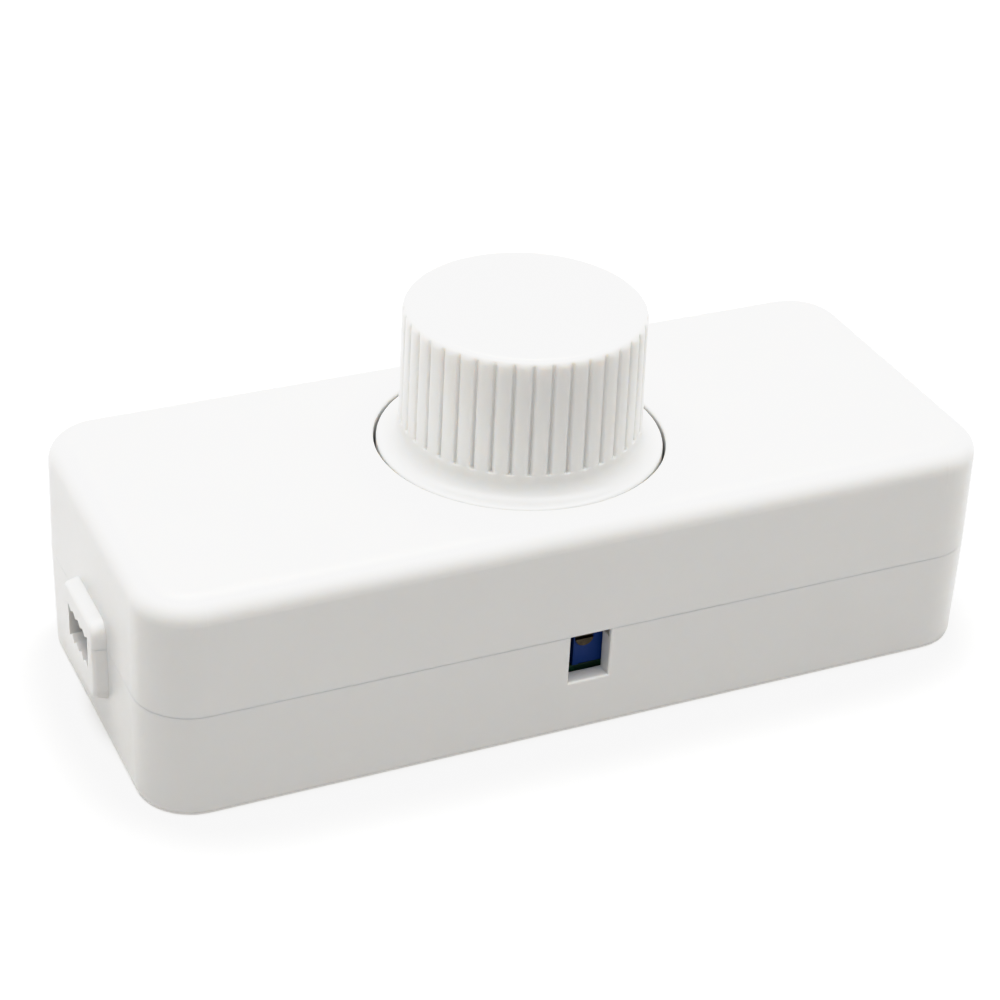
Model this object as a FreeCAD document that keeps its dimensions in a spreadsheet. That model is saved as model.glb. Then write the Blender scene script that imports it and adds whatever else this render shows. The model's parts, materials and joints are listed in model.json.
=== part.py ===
import FreeCAD, Part
import math
import os
import re

import Sketcher
from FreeCAD import Placement, Rotation, Vector

# Inline rotary dimmer: a two-part plastic case with a toothed cord inlet in each end, a
# push-and-turn knob in a round well on top and a trimmer behind a slot in the front wall.
# Origin: centre of the underside. +Z up, +X along the case, -Y towards the slot. Millimetres.

SIZES = {
    # case
    "case_length": 100.4,
    "case_width": 42.2,
    "case_height": 26.4,
    "parting_height": 12.6,
    "parting_edge_radius": 0.05,
    "corner_radius": 6.4,
    "top_edge_radius": 2.8,
    "bottom_edge_radius": 0.6,
    "upper_draft": 0.8,
    "lower_draft": 0.5,
    "wall": 2.0,
    "tongue_depth": 1.2,
    "tongue_thickness": 1.35,
    "tongue_gap": 0.1,
    "tongue_start": 5.0,
    "tongue_end": 37.0,
    # knob well in the upper shell
    "well_radius": 16.45,
    "well_wall": 1.6,
    "well_floor_top": 20.5,
    "well_floor_thickness": 2.0,
    "bushing_hole_radius": 3.6,
    "well_lip_radius": 0.65,
    # case screws
    "tower_radius": 4.6,
    "pillar_radius": 3.4,
    "head_well_radius": 3.0,
    "head_seat_height": 6.0,
    "screw_hole_radius": 1.6,
    "pilot_radius": 1.5,
    "pilot_depth": 10.0,
    "case_screw_radius": 1.45,
    "case_screw_head_radius": 2.75,
    "case_screw_head_height": 1.9,
    "case_screw_length": 15.0,
    # cord inlets
    "inlet_plane": 50.0,
    "inlet_reach": 51.7,
    "inlet_half_width": 5.85,
    "inlet_top": 15.8,
    "inlet_bottom": 5.4,
    "inlet_corner_radius": 1.9,
    "inlet_draft": 15.0,
    "inlet_edge_radius": 0.6,
    "mouth_half_width": 3.55,
    "mouth_top": 13.15,
    "mouth_bottom": 8.95,
    "upper_tooth_height": 0.5,
    "lower_tooth_height": 0.75,
    # trimmer slot
    "slot_left": -2.65,
    "slot_right": 2.2,
    "slot_bottom": 6.5,
    "slot_edge_radius": 0.25,
    # circuit board and what carries it
    "board_length": 77.0,
    "board_width": 37.4,
    "board_top": 7.0,
    "board_thickness": 1.6,
    "standoff_x": 34.0,
    "standoff_y": 15.0,
    "standoff_radius": 2.6,
    "peg_radius": 1.0,
    "peg_top": 8.2,
    "board_screw_radius": 1.1,
    "board_screw_head_radius": 2.1,
    "board_screw_head_height": 1.5,
    "board_screw_bottom": 2.3,
    "lead_end": 4.2,
    "lead_gap": 0.1,
    "pin_pitch": 2.54,
    "thread_gap": 0.02,
    # terminal blocks
    "terminal_x": 29.5,
    "terminal_length": 8.5,
    "terminal_width": 10.4,
    "terminal_height": 9.5,
    "terminal_pitch": 5.08,
    "terminal_pin_radius": 0.5,
    "cage_length": 6.0,
    "cage_width": 3.4,
    "cage_height": 4.7,
    "cage_wall": 0.6,
    "cage_floor": 8.6,
    "cage_play": 0.1,
    "clamp_screw_radius": 1.2,
    "clamp_head_radius": 1.5,
    "clamp_head_height": 2.0,
    # push switch under the potentiometer
    "switch_side": 15.0,
    "switch_wall": 1.2,
    "switch_floor_top": 8.0,
    "switch_top": 13.0,
    "plunger_side": 12.2,
    "plunger_top": 11.85,
    "plunger_flange_bottom": 10.9,
    "plunger_cup_radius": 4.8,
    "plunger_cup_bottom": 9.8,
    "spring_top": 11.2,
    "spring_pocket_radius": 3.9,
    "spring_radius": 3.4,
    "spring_wire_radius": 0.2,
    "spring_turns": 3.0,
    "contact_ring_radius": 5.9,
    "contact_ring_bore": 4.85,
    "contact_ring_thickness": 0.3,
    "contact_pad_top": 9.05,
    "contact_pad_inner": 5.0,
    "contact_pad_length": 1.2,
    "contact_pad_width": 2.0,
    "contact_pad_thickness": 0.3,
    "contact_leg_x": 6.0,
    "contact_leg_thickness": 0.4,
    "contact_leg_width": 1.5,
    # potentiometer
    "wafer_thickness": 1.2,
    "wafer_bore": 3.4,
    "track_inner_radius": 4.6,
    "track_outer_radius": 6.4,
    "track_thickness": 0.15,
    "rotor_radius": 6.6,
    "rotor_bottom": 15.2,
    "rotor_top": 16.9,
    "rotor_bore": 3.05,
    "brush_thickness": 0.2,
    "brush_nib_width": 1.2,
    "brush_nib_length": 1.4,
    "tag_pitch": 2.5,
    "tag_width": 0.8,
    "tag_reach": 0.7,
    "tag_thickness": 0.4,
    "tag_rise": 0.3,
    "pot_cover_radius": 7.5,
    "pot_cover_wall": 0.5,
    "pot_cover_top": 18.2,
    "pot_cover_roof": 0.6,
    "bushing_radius": 3.5,
    "bushing_bore": 3.05,
    "bushing_flange_radius": 4.8,
    "bushing_flange_thickness": 0.4,
    "bushing_top": 23.4,
    "washer_radius": 6.0,
    "washer_thickness": 0.5,
    "nut_circumradius": 5.77,
    "nut_height": 2.0,
    # shaft
    "shaft_radius": 3.0,
    "shaft_flat": 1.5,
    "shaft_bottom": 11.9,
    "shaft_top": 38.0,
    "lower_flat_top": 18.6,
    "upper_flat_bottom": 25.2,
    "clip_bottom": 12.3,
    "clip_thickness": 0.5,
    "clip_groove_radius": 2.2,
    "clip_radius": 4.6,
    "clip_mouth": 3.5,
    # knob
    "knob_top": 42.65,
    "grip_top_radius": 13.5,
    "grip_bottom_radius": 13.7,
    "knob_edge_radius": 1.35,
    "flare_radius": 2.0,
    "flange_radius": 16.15,
    "flange_top": 26.15,
    "flange_edge_radius": 0.5,
    "skirt_bottom": 24.0,
    "knob_wall": 1.8,
    "knob_roof": 2.0,
    "hub_radius": 4.8,
    "hub_bottom": 25.6,
    "hub_bore": 3.02,
    "hub_bore_top": 38.3,
    "rib_bottom": 30.0,
    "rib_thickness": 1.2,
    "rib_count": 6,
    "rib_bite": 0.4,
    "skirt_step": 0.3,
    "flute_count": 40,
    "flute_turn": -2.25,
    "flute_radius": 0.35,
    "flute_floor_radius": 13.1,
    "flute_bottom": 28.7,
    "leaf_thickness": 0.3,
    "leaf_width": 3.6,
    "leaf_bottom": 27.0,
    "leaf_top": 36.0,
    "leaf_play": 0.05,
    # trimmer
    "trimmer_left": -1.1,
    "trimmer_width": 9.53,
    "trimmer_front": -18.7,
    "trimmer_depth": 10.03,
    "trimmer_height": 4.83,
    "trimmer_foot_height": 0.1,
    "trimmer_foot_side": 0.7,
    "trimmer_screw_inset": 1.27,
    "trimmer_head_radius": 1.095,
    "trimmer_head_length": 1.0,
    "trimmer_head_play": 0.055,
    "trimmer_proud": 0.1,
    "trimmer_slit_width": 0.4,
    "trimmer_slit_depth": 0.5,
    "trimmer_pin_radius": 0.25,
    "worm_radius": 0.75,
    "worm_play": 0.07,
    "worm_length": 7.6,
    "worm_end_play": 0.3,
    "wheel_x": 4.6,
    "wheel_y": -13.7,
    "wheel_radius": 3.45,
    "wheel_bottom": 10.1,
    "wheel_thickness": 1.0,
    "wheel_play": 0.3,
    "wheel_post_radius": 0.8,
    "wheel_bore": 0.85,
    # fuse
    "fuse_x": -20.0,
    "fuse_y": 13.4,
    "fuse_z": 10.6,
    "fuse_length": 20.0,
    "fuse_glass_radius": 2.45,
    "fuse_glass_wall": 0.5,
    "fuse_cap_radius": 2.65,
    "fuse_cap_length": 5.0,
    "fuse_cap_wall": 0.15,
    "fuse_clip_thickness": 0.4,
    "fuse_clip_top": 12.5,
    "fuse_clip_play": 0.05,
    "fuse_pin_radius": 0.6,
    # triac on its heat sink
    "triac_x": 13.0,
    "triac_y": -11.0,
    "triac_width": 10.0,
    "tab_length": 15.3,
    "tab_bottom": 8.9,
    "tab_thickness": 1.3,
    "triac_body_length": 9.0,
    "triac_body_height": 3.2,
    "triac_lead_run": 2.2,
    "triac_lead_width": 0.8,
    "triac_lead_thickness": 0.5,
    "triac_lead_rise": 1.0,
    "sink_start": 13.4,
    "sink_bottom": 7.4,
    "sink_thickness": 1.5,
    "sink_front": -18.2,
    "sink_back": -5.0,
    "sink_height": 9.6,
    "sink_screw_x": 25.3,
    "sink_screw_radius": 1.45,
    "sink_screw_head_radius": 2.75,
    "sink_screw_head_height": 2.2,
    "sink_screw_hole": 1.6,
    "sink_nut_height": 2.4,
    "sink_nut_circumradius": 3.18,
    # choke
    "choke_x": -20.0,
    "choke_y": -9.0,
    "choke_z": 10.5,
    "choke_ring_radius": 5.2,
    "choke_core_radius": 2.6,
    "winding_wire_radius": 0.38,
    "winding_turns": 14,
    "winding_gap": 0.02,
    # capacitors
    "film_x": 11.0,
    "film_y": 8.85,
    "film_length": 18.0,
    "film_width": 7.5,
    "film_height": 10.4,
    "film_pitch": 15.0,
    "film_lead_radius": 0.4,
    "timing_x": 10.75,
    "timing_y": -1.4,
    "timing_thickness": 2.5,
    "timing_width": 7.2,
    "timing_height": 6.5,
    "timing_pitch": 5.0,
    "can_x": -22.0,
    "can_y": 5.0,
    "can_radius": 4.0,
    "can_height": 10.5,
    "can_pitch": 3.5,
    "case_edge_radius": 0.4,
    # axial parts
    "axial_z": 8.3,
    "resistor_first_x": -14.5,
    "resistor_step": 3.5,
    "resistor_y": 5.0,
    "resistor_radius": 1.1,
    "resistor_length": 6.0,
    "diac_x": 17.0,
    "diac_y": 2.2,
    "diac_radius": 0.95,
    "diac_length": 3.6,
    "axial_span": 8.0,
    "wire_radius": 0.3,
    # controller chip
    "chip_x": 24.0,
    "chip_y": 2.2,
    "chip_width": 6.4,
    "chip_length": 9.4,
    "chip_bottom": 7.6,
    "chip_height": 3.2,
    "chip_row": 3.81,
    "chip_pin_z": 9.2,
    "chip_pin_width": 0.5,
    "chip_pin_thickness": 0.25,
}

doc = FreeCAD.newDocument("inline_dimmer")
sheet = doc.addObject("Spreadsheet::Sheet", "sizes")
for row, (alias, value) in enumerate(SIZES.items(), start=1):
    sheet.set(f"A{row}", alias)
    sheet.set(f"B{row}", str(value))
    sheet.setAlias(f"B{row}", alias)
doc.recompute()

sub_parts = []
drills = []

OVERSHOOT = 1.0
FOUR_CORNERS = [(-1, -1), (1, -1), (-1, 1), (1, 1)]


# ---------------------------------------------------------------- expressions and helpers

def link(text):
    """Turn an expression in size names into one that reads the sheet."""
    return re.sub(r"[a-z_]{2,}", lambda word: "sizes." + word[0] if word[0] in SIZES else word[0], str(text))


def number(text):
    return float(sheet.evalExpression(link(text)))


def bind(item, **expressions):
    for name, text in expressions.items():
        item.setExpression(name, link(text))


def place(item, x=0, y=0, z=0, rotation=None):
    if rotation:
        item.Placement = Placement(Vector(), rotation)
    for letter, text in zip("xyz", (x, y, z)):
        item.setExpression(f"Placement.Base.{letter}", link(text))


def sub_part(item, label):
    """Enter a finished object as a physical piece of the dimmer."""
    item.Label = label
    sub_parts.append(item)
    return item


# ---------------------------------------------------------------- Part primitives

def block(name, x, y, z, length, width, height):
    item = doc.addObject("Part::Box", name)
    bind(item, Length=length, Width=width, Height=height)
    place(item, x, y, z)
    return item


ALONG = {
    "x": Rotation(Vector(0, 1, 0), 90),
    "y": Rotation(Vector(1, 0, 0), -90),
    "z": None,
}


def rod(name, x, y, z, radius, length, along="z"):
    """A cylinder from its start point, running in the positive direction of an axis."""
    item = doc.addObject("Part::Cylinder", name)
    bind(item, Radius=radius, Height=length)
    place(item, x, y, z, ALONG[along])
    return item


def fuse(name, pieces):
    item = doc.addObject("Part::MultiFuse", name)
    item.Shapes = pieces
    return item


def cut(name, base, tools):
    item = doc.addObject("Part::Cut", name)
    item.Base = base
    item.Tool = tools[0] if len(tools) == 1 else fuse(name + "_tools", tools)
    return item


def group(name, pieces):
    item = doc.addObject("Part::Compound", name)
    item.Links = pieces
    return item


def ring(name, x, y, z, radius, bore, height):
    outside = rod(name + "_outside", x, y, z, radius, height)
    inside = rod(name + "_inside", x, y, f"{z} - {OVERSHOOT}", bore, f"{height} + {2 * OVERSHOOT}")
    return cut(name, outside, [inside])


def hexagon(name, x, y, z, circumradius, height):
    item = doc.addObject("Part::Prism", name)
    item.Polygon = 6
    bind(item, Circumradius=circumradius, Height=height)
    place(item, x, y, z)
    return item


def lead_hole(name, x, y, radius):
    """Note a hole in the circuit board for a lead of the given radius."""
    drills.append(rod(f"drill_{name}", x, y, f"board_top - board_thickness - {OVERSHOOT}",
                      f"{radius} + lead_gap", f"board_thickness + {2 * OVERSHOOT}"))


def board_lead(name, x, y, radius, top="board_top"):
    """A round lead that goes down through the circuit board."""
    lead_hole(name, x, y, radius)
    return rod(name, x, y, "lead_end", radius, f"{top} - lead_end")


# ---------------------------------------------------------------- PartDesign helpers

def new_body(label):
    return sub_part(doc.addObject("PartDesign::Body", label), label)


def sketch_on(body, name, role="XY_Plane", offset=0):
    """An empty sketch on one of the body's own planes, shifted along the plane's normal."""
    sketch = body.newObject("Sketcher::SketchObject", name)
    plane = next(feature for feature in body.Origin.OriginFeatures if feature.Role == role)
    sketch.AttachmentSupport = [(plane, "")]
    sketch.MapMode = "FlatFace"
    sketch.setExpression("AttachmentOffset.Base.z", link(offset))
    return sketch


ORIGIN_POINT = (-1, 1)
X_AXIS = (-1,)
Y_AXIS = (-2,)


def pin_point(sketch, geometry, point, x, y):
    """Fix a point of the sketch at x, y, both given as expressions."""
    for kind, text, axis in (("DistanceX", x, Y_AXIS), ("DistanceY", y, X_AXIS)):
        if abs(number(text)) < 1e-9:
            sketch.addConstraint(Sketcher.Constraint("PointOnObject", geometry, point, *axis))
            continue
        row = sketch.addConstraint(
            Sketcher.Constraint(kind, *ORIGIN_POINT, geometry, point, number(text)))
        sketch.setExpression(f"Constraints[{row}]", link(text))


def circle(sketch, x, y, radius):
    centre = Vector(number(x), number(y), 0)
    edge = sketch.addGeometry(Part.Circle(centre, Vector(0, 0, 1), number(radius)))
    row = sketch.addConstraint(Sketcher.Constraint("Radius", edge, number(radius)))
    sketch.setExpression(f"Constraints[{row}]", link(radius))
    pin_point(sketch, edge, 3, x, y)


def polygon(sketch, corners):
    """A closed outline of straight lines; each corner is a pair of expressions."""
    points = [Vector(number(x), number(y), 0) for x, y in corners]
    lines = [sketch.addGeometry(Part.LineSegment(start, end))
             for start, end in zip(points, points[1:] + points[:1])]
    for line, following in zip(lines, lines[1:] + lines[:1]):
        sketch.addConstraint(Sketcher.Constraint("Coincident", line, 2, following, 1))
    for line, (x, y) in zip(lines, corners):
        pin_point(sketch, line, 1, x, y)


def rectangle(sketch, left, right, low, high):
    polygon(sketch, [(left, low), (right, low), (right, high), (left, high)])


def rounded_rectangle(sketch, half_x, low, high, radius):
    """A rectangle centred on the sketch's Y axis, with a tangent arc in each corner."""
    half, floor, roof, bend = (number(text) for text in (half_x, low, high, radius))
    inner = half - bend
    lines = [
        Part.LineSegment(Vector(-inner, floor, 0), Vector(inner, floor, 0)),
        Part.LineSegment(Vector(half, floor + bend, 0), Vector(half, roof - bend, 0)),
        Part.LineSegment(Vector(inner, roof, 0), Vector(-inner, roof, 0)),
        Part.LineSegment(Vector(-half, roof - bend, 0), Vector(-half, floor + bend, 0)),
    ]
    centres = [(inner, floor + bend), (inner, roof - bend), (-inner, roof - bend), (-inner, floor + bend)]
    sides = [sketch.addGeometry(line) for line in lines]
    arcs = []
    for quarter, (x, y) in enumerate(centres):
        arc = Part.Circle(Vector(x, y, 0), Vector(0, 0, 1), bend)
        start = (quarter - 1) * math.pi / 2
        arcs.append(sketch.addGeometry(Part.ArcOfCircle(arc, start, start + math.pi / 2)))
    for index, arc in enumerate(arcs):
        sketch.addConstraint(Sketcher.Constraint("Tangent", sides[index], 2, arc, 1))
        sketch.addConstraint(Sketcher.Constraint("Tangent", arc, 2, sides[(index + 1) % 4], 1))
    for index in (0, 2):
        sketch.addConstraint(Sketcher.Constraint("Horizontal", sides[index]))
        sketch.addConstraint(Sketcher.Constraint("Vertical", sides[index + 1]))
    for arc in arcs[1:]:
        sketch.addConstraint(Sketcher.Constraint("Equal", arcs[0], arc))
    row = sketch.addConstraint(Sketcher.Constraint("Radius", arcs[0], bend))
    sketch.setExpression(f"Constraints[{row}]", link(radius))
    for arc, x, y in ((arcs[0], f"{half_x} - {radius}", f"{low} + {radius}"),
                      (arcs[2], f"{radius} - ({half_x})", f"{high} - {radius}")):
        pin_point(sketch, arc, 3, x, y)


def d_outline(sketch, radius, flat):
    """A circle about the origin with everything above y = flat cut off."""
    reach = math.sqrt(number(radius) ** 2 - number(flat) ** 2)
    angle = math.atan2(number(flat), reach)
    whole = Part.Circle(Vector(), Vector(0, 0, 1), number(radius))
    arc = sketch.addGeometry(Part.ArcOfCircle(whole, math.pi - angle, 2 * math.pi + angle))
    ends = (Vector(reach, number(flat), 0), Vector(-reach, number(flat), 0))
    line = sketch.addGeometry(Part.LineSegment(*ends))
    sketch.addConstraint(Sketcher.Constraint("Coincident", arc, 2, line, 1))
    sketch.addConstraint(Sketcher.Constraint("Coincident", line, 2, arc, 1))
    sketch.addConstraint(Sketcher.Constraint("Coincident", arc, 3, *ORIGIN_POINT))
    sketch.addConstraint(Sketcher.Constraint("Horizontal", line))
    row = sketch.addConstraint(Sketcher.Constraint("Radius", arc, number(radius)))
    sketch.setExpression(f"Constraints[{row}]", link(radius))
    row = sketch.addConstraint(Sketcher.Constraint("DistanceY", *ORIGIN_POINT, line, 1, number(flat)))
    sketch.setExpression(f"Constraints[{row}]", link(flat))


def check_volume(body, before, grows):
    doc.recompute()
    change = body.Shape.Volume - before
    if (change > 0) != grows or abs(change) < 1e-6:
        raise RuntimeError(f"{body.Tip.Name} in {body.Label} changed the volume by {change:.4f}")


def pad(body, sketch, length, backwards=False, taper=0):
    before = body.Shape.Volume if body.Tip else 0
    feature = body.newObject("PartDesign::Pad", sketch.Name + "_pad")
    feature.Profile = sketch
    feature.Reversed = backwards
    bind(feature, Length=length, TaperAngle=f"-({taper})")
    check_volume(body, before, grows=True)
    return feature


def pocket(body, sketch, length, forwards=False):
    """Remove material behind the sketch, or in front of it when forwards is set."""
    before = body.Shape.Volume
    feature = body.newObject("PartDesign::Pocket", sketch.Name + "_pocket")
    feature.Profile = sketch
    feature.Reversed = forwards
    bind(feature, Length=length)
    check_volume(body, before, grows=False)
    return feature


def pocket_through(body, sketch):
    before = body.Shape.Volume
    feature = body.newObject("PartDesign::Pocket", sketch.Name + "_pocket")
    feature.Profile = sketch
    feature.Type = "ThroughAll"
    feature.Midplane = True
    check_volume(body, before, grows=False)
    return feature


def round_edges(body, name, radius, wanted):
    """Fillet the edges of the body for which wanted(edge) is true."""
    names = [f"Edge{index}" for index, edge in enumerate(body.Shape.Edges, start=1) if wanted(edge)]
    base = body.Tip
    feature = body.newObject("PartDesign::Fillet", name)
    feature.Base = (base, names)
    bind(feature, Radius=radius)
    doc.recompute()
    if not feature.isValid():
        raise RuntimeError(f"{name} in {body.Label}: {feature.getStatusString()}, {len(names)} edges")


def flat_at(height, low_half_x=0.0):
    """A test for edges that lie in the plane z = height and reach beyond a half-length."""
    level = number(height)

    def test(edge):
        box = edge.BoundBox
        reaches = max(abs(box.XMin), abs(box.XMax)) > low_half_x
        return abs(box.ZMin - level) < 1e-4 and abs(box.ZMax - level) < 1e-4 and reaches
    return test


def mirror_ends(body, features):
    """Repeat features at the other end of the case."""
    feature = body.newObject("PartDesign::Mirrored", body.Label + "_other_end")
    plane = next(item for item in body.Origin.OriginFeatures if item.Role == "YZ_Plane")
    feature.Originals = features
    feature.MirrorPlane = (plane, [""])
    body.Tip = feature
    doc.recompute()


# ---------------------------------------------------------------- case

CORNER_X = "(case_length / 2 - corner_radius)"
CORNER_Y = "(case_width / 2 - corner_radius)"
CORD_TEETH = 4


def case_outline(body, name, shrink="0"):
    """The case's plan at the parting plane, drawn in by an amount on every side."""
    sketch = sketch_on(body, name, offset="parting_height")
    half_y = f"(case_width / 2 - {shrink})"
    rounded_rectangle(sketch, f"(case_length / 2 - {shrink})", f"-{half_y}", half_y,
                      f"(corner_radius - {shrink})")
    return sketch


def corner_circles(body, name, offset, radius):
    sketch = sketch_on(body, name, offset=offset)
    for side_x, side_y in FOUR_CORNERS:
        circle(sketch, f"{side_x} * {CORNER_X}", f"{side_y} * {CORNER_Y}", radius)
    return sketch


def inlet_bosses(body):
    """The tapered boss round the cord inlet on each end, whole; the parting cut halves it."""
    sketch = sketch_on(body, body.Label + "_inlet_boss", "YZ_Plane", "inlet_plane")
    rounded_rectangle(sketch, "inlet_half_width", "inlet_bottom", "inlet_top", "inlet_corner_radius")
    boss = pad(body, sketch, "inlet_reach - inlet_plane", taper="inlet_draft")
    mirror_ends(body, [boss])
    end = number("inlet_reach")
    round_edges(body, body.Label + "_inlet_edges", "inlet_edge_radius",
                lambda edge: min(abs(edge.BoundBox.XMin), abs(edge.BoundBox.XMax)) > end - 1e-4)


def slot_outer_edge(edge):
    """Whether an edge is a side or the sill of the trimmer slot on the front wall's outer face."""
    box = edge.BoundBox
    between = box.XMin > number("slot_left") - 1e-4 and box.XMax < number("slot_right") + 1e-4
    outer = box.YMax < -number("case_width / 2 - wall / 4")
    return between and outer and box.ZMin > number("slot_bottom") - 1e-4


def parting_rim_edge(edge):
    """Whether an edge of the parting face runs round the outside of the case or of a boss."""
    box = edge.BoundBox
    if max(abs(box.ZMin - number("parting_height")), abs(box.ZMax - number("parting_height"))) > 1e-4:
        return False
    middle = edge.valueAt((edge.FirstParameter + edge.LastParameter) / 2)
    return all(outside_wall(point) for point in [middle] + [vertex.Point for vertex in edge.Vertexes])


def outside_wall(point):
    """Whether a point of the parting plane lies on the case's outline or beyond it."""
    half_length, half_width, radius = (
        number(text) for text in ("case_length / 2", "case_width / 2", "corner_radius"))
    corner = math.hypot(max(abs(point.x) - half_length + radius, 0),
                        max(abs(point.y) - half_width + radius, 0))
    return corner > radius - 1e-3


def remove_beyond_parting(body, forwards):
    sketch = sketch_on(body, body.Label + "_parting", offset="parting_height")
    rectangle(sketch, "-case_length", "case_length", "-case_width", "case_width")
    pocket(body, sketch, "case_height", forwards)


def cord_mouth(body, root, tooth_height, direction):
    """Open both end walls for the cord and leave a row of teeth along the mouth's root."""
    corners = [("-mouth_half_width", "parting_height"), ("mouth_half_width", "parting_height")]
    for step in range(2 * CORD_TEETH + 1):
        y = f"mouth_half_width * (1 - {step} / {CORD_TEETH})"
        tip = step % 2
        corners.append((y, f"{root} - {direction} * {tip} * {tooth_height}"))
    sketch = sketch_on(body, body.Label + "_mouth", "YZ_Plane")
    polygon(sketch, corners)
    pocket_through(body, sketch)


def tongue_strips(body, gap, front_parts):
    """Strips along the inside of both long walls: one behind, one or two in front.

    The upper shell has two tongues in front, which leave the slot clear; the lower shell has
    one rebate that runs past the slot.
    """
    sketch = sketch_on(body, body.Label + "_tongues", offset="parting_height")
    inner = "(case_width / 2 - wall)"
    outer = f"({inner} + tongue_thickness + {gap})"
    start = f"(tongue_start - {gap})"
    end = f"(tongue_end + {gap})"
    if front_parts == 1:
        rectangle(sketch, f"-{end}", end, f"-{outer}", f"-{inner}")
    else:
        rectangle(sketch, f"-{end}", f"-{start}", f"-{outer}", f"-{inner}")
        rectangle(sketch, start, end, f"-{outer}", f"-{inner}")
    rectangle(sketch, f"-{end}", end, inner, outer)
    return sketch


def upper_shell():
    body = new_body("upper_shell")
    pad(body, case_outline(body, "upper_outline"), "case_height - parting_height", taper="upper_draft")
    round_edges(body, "top_edge", "top_edge_radius", flat_at("case_height"))
    inlet_bosses(body)
    remove_beyond_parting(body, forwards=False)
    pocket(body, case_outline(body, "upper_cavity", "wall"), "case_height - wall - parting_height",
           forwards=True)

    well = sketch_on(body, "well_outside", offset="well_floor_top - well_floor_thickness")
    circle(well, "0", "0", "well_radius + well_wall")
    pad(body, well, "case_height - wall / 2 - well_floor_top + well_floor_thickness")
    inside = sketch_on(body, "well_inside", offset="case_height")
    circle(inside, "0", "0", "well_radius")
    pocket(body, inside, "case_height - well_floor_top")
    hole = sketch_on(body, "bushing_hole", offset="well_floor_top")
    circle(hole, "0", "0", "bushing_hole_radius")
    pocket(body, hole, f"well_floor_thickness + {OVERSHOOT}")

    pad(body, corner_circles(body, "pillars", "parting_height", "pillar_radius"),
        "case_height - wall / 2 - parting_height")
    pocket(body, corner_circles(body, "pilot_holes", "parting_height", "pilot_radius"),
           "pilot_depth", forwards=True)
    cord_mouth(body, "mouth_top", "upper_tooth_height", 1)
    round_edges(body, "well_lip", "well_lip_radius", circular_edge("well_radius", "case_height"))
    round_edges(body, "upper_parting_rim", "parting_edge_radius", parting_rim_edge)
    pad(body, tongue_strips(body, "0", 2), "tongue_depth", backwards=True)


def lower_shell():
    body = new_body("lower_shell")
    pad(body, case_outline(body, "lower_outline"), "parting_height", backwards=True, taper="lower_draft")
    round_edges(body, "bottom_edge", "bottom_edge_radius", flat_at("0"))
    inlet_bosses(body)
    remove_beyond_parting(body, forwards=True)
    pocket(body, case_outline(body, "lower_cavity", "wall"), "parting_height - wall")

    pad(body, corner_circles(body, "screw_towers", "wall / 2", "tower_radius"),
        "parting_height - wall / 2")
    pocket(body, corner_circles(body, "head_wells", "0", "head_well_radius"),
           "head_seat_height", forwards=True)
    pocket(body, corner_circles(body, "screw_holes", "0", "screw_hole_radius"),
           "parting_height", forwards=True)

    standoffs = sketch_on(body, "standoffs", offset="wall")
    for side_x, side_y in FOUR_CORNERS:
        circle(standoffs, f"{side_x} * standoff_x", f"{side_y} * standoff_y", "standoff_radius")
    pad(body, standoffs, "board_top - board_thickness - wall")
    pegs = sketch_on(body, "board_pegs", offset="wall")
    circle(pegs, "-standoff_x", "-standoff_y", "peg_radius")
    circle(pegs, "standoff_x", "standoff_y", "peg_radius")
    pad(body, pegs, "peg_top - wall")
    pilots = sketch_on(body, "board_pilots", offset="board_top - board_thickness")
    circle(pilots, "-standoff_x", "standoff_y", "board_screw_radius")
    circle(pilots, "standoff_x", "-standoff_y", "board_screw_radius")
    pocket(body, pilots, "board_top - board_thickness - wall")

    slot = sketch_on(body, "trimmer_slot", "XZ_Plane", "case_width / 2 - 2 * wall")
    rectangle(slot, "slot_left", "slot_right", "slot_bottom", f"parting_height + {OVERSHOOT}")
    pocket(body, slot, "3 * wall", forwards=True)
    round_edges(body, "slot_edges", "slot_edge_radius", slot_outer_edge)
    cord_mouth(body, "mouth_bottom", "lower_tooth_height", -1)
    round_edges(body, "lower_parting_rim", "parting_edge_radius", parting_rim_edge)
    pocket(body, tongue_strips(body, "tongue_gap", 1), "tongue_depth + tongue_gap")


def case_screw(number_in_set, side_x, side_y):
    """A self-tapping screw, head down, entered from the underside."""
    x = f"{side_x} * {CORNER_X}"
    y = f"{side_y} * {CORNER_Y}"
    name = f"case_screw_{number_in_set}"
    low = "(head_seat_height - case_screw_head_height)"
    head = rod(name + "_head", x, y, low, "case_screw_head_radius", "case_screw_head_height")
    shank = rod(name + "_shank", x, y, "head_seat_height", "case_screw_radius",
                "case_screw_length - case_screw_head_height")
    arms = cross_recess(name, x, y, f"{low} - {OVERSHOOT}", "case_screw_head_radius",
                        f"case_screw_head_height / 2 + {OVERSHOOT}")
    return cut(name, fuse(name + "_blank", [head, shank]), arms)


def cross_recess(name, x, y, z, head_radius, depth):
    """The two crossed bars that cut a cross recess in a screw head."""
    long_side = f"1.3 * {head_radius}"
    short_side = f"0.28 * {head_radius}"
    bars = []
    for letter, length, width in (("a", long_side, short_side), ("b", short_side, long_side)):
        bars.append(block(f"{name}_recess_{letter}", f"{x} - {length} / 2", f"{y} - {width} / 2", z,
                          length, width, depth))
    return bars


def case_screws():
    screws = [case_screw(index, *sides) for index, sides in enumerate(FOUR_CORNERS, start=1)]
    sub_part(group("case_screws", screws), "case_screws")


# ---------------------------------------------------------------- terminal blocks

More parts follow.
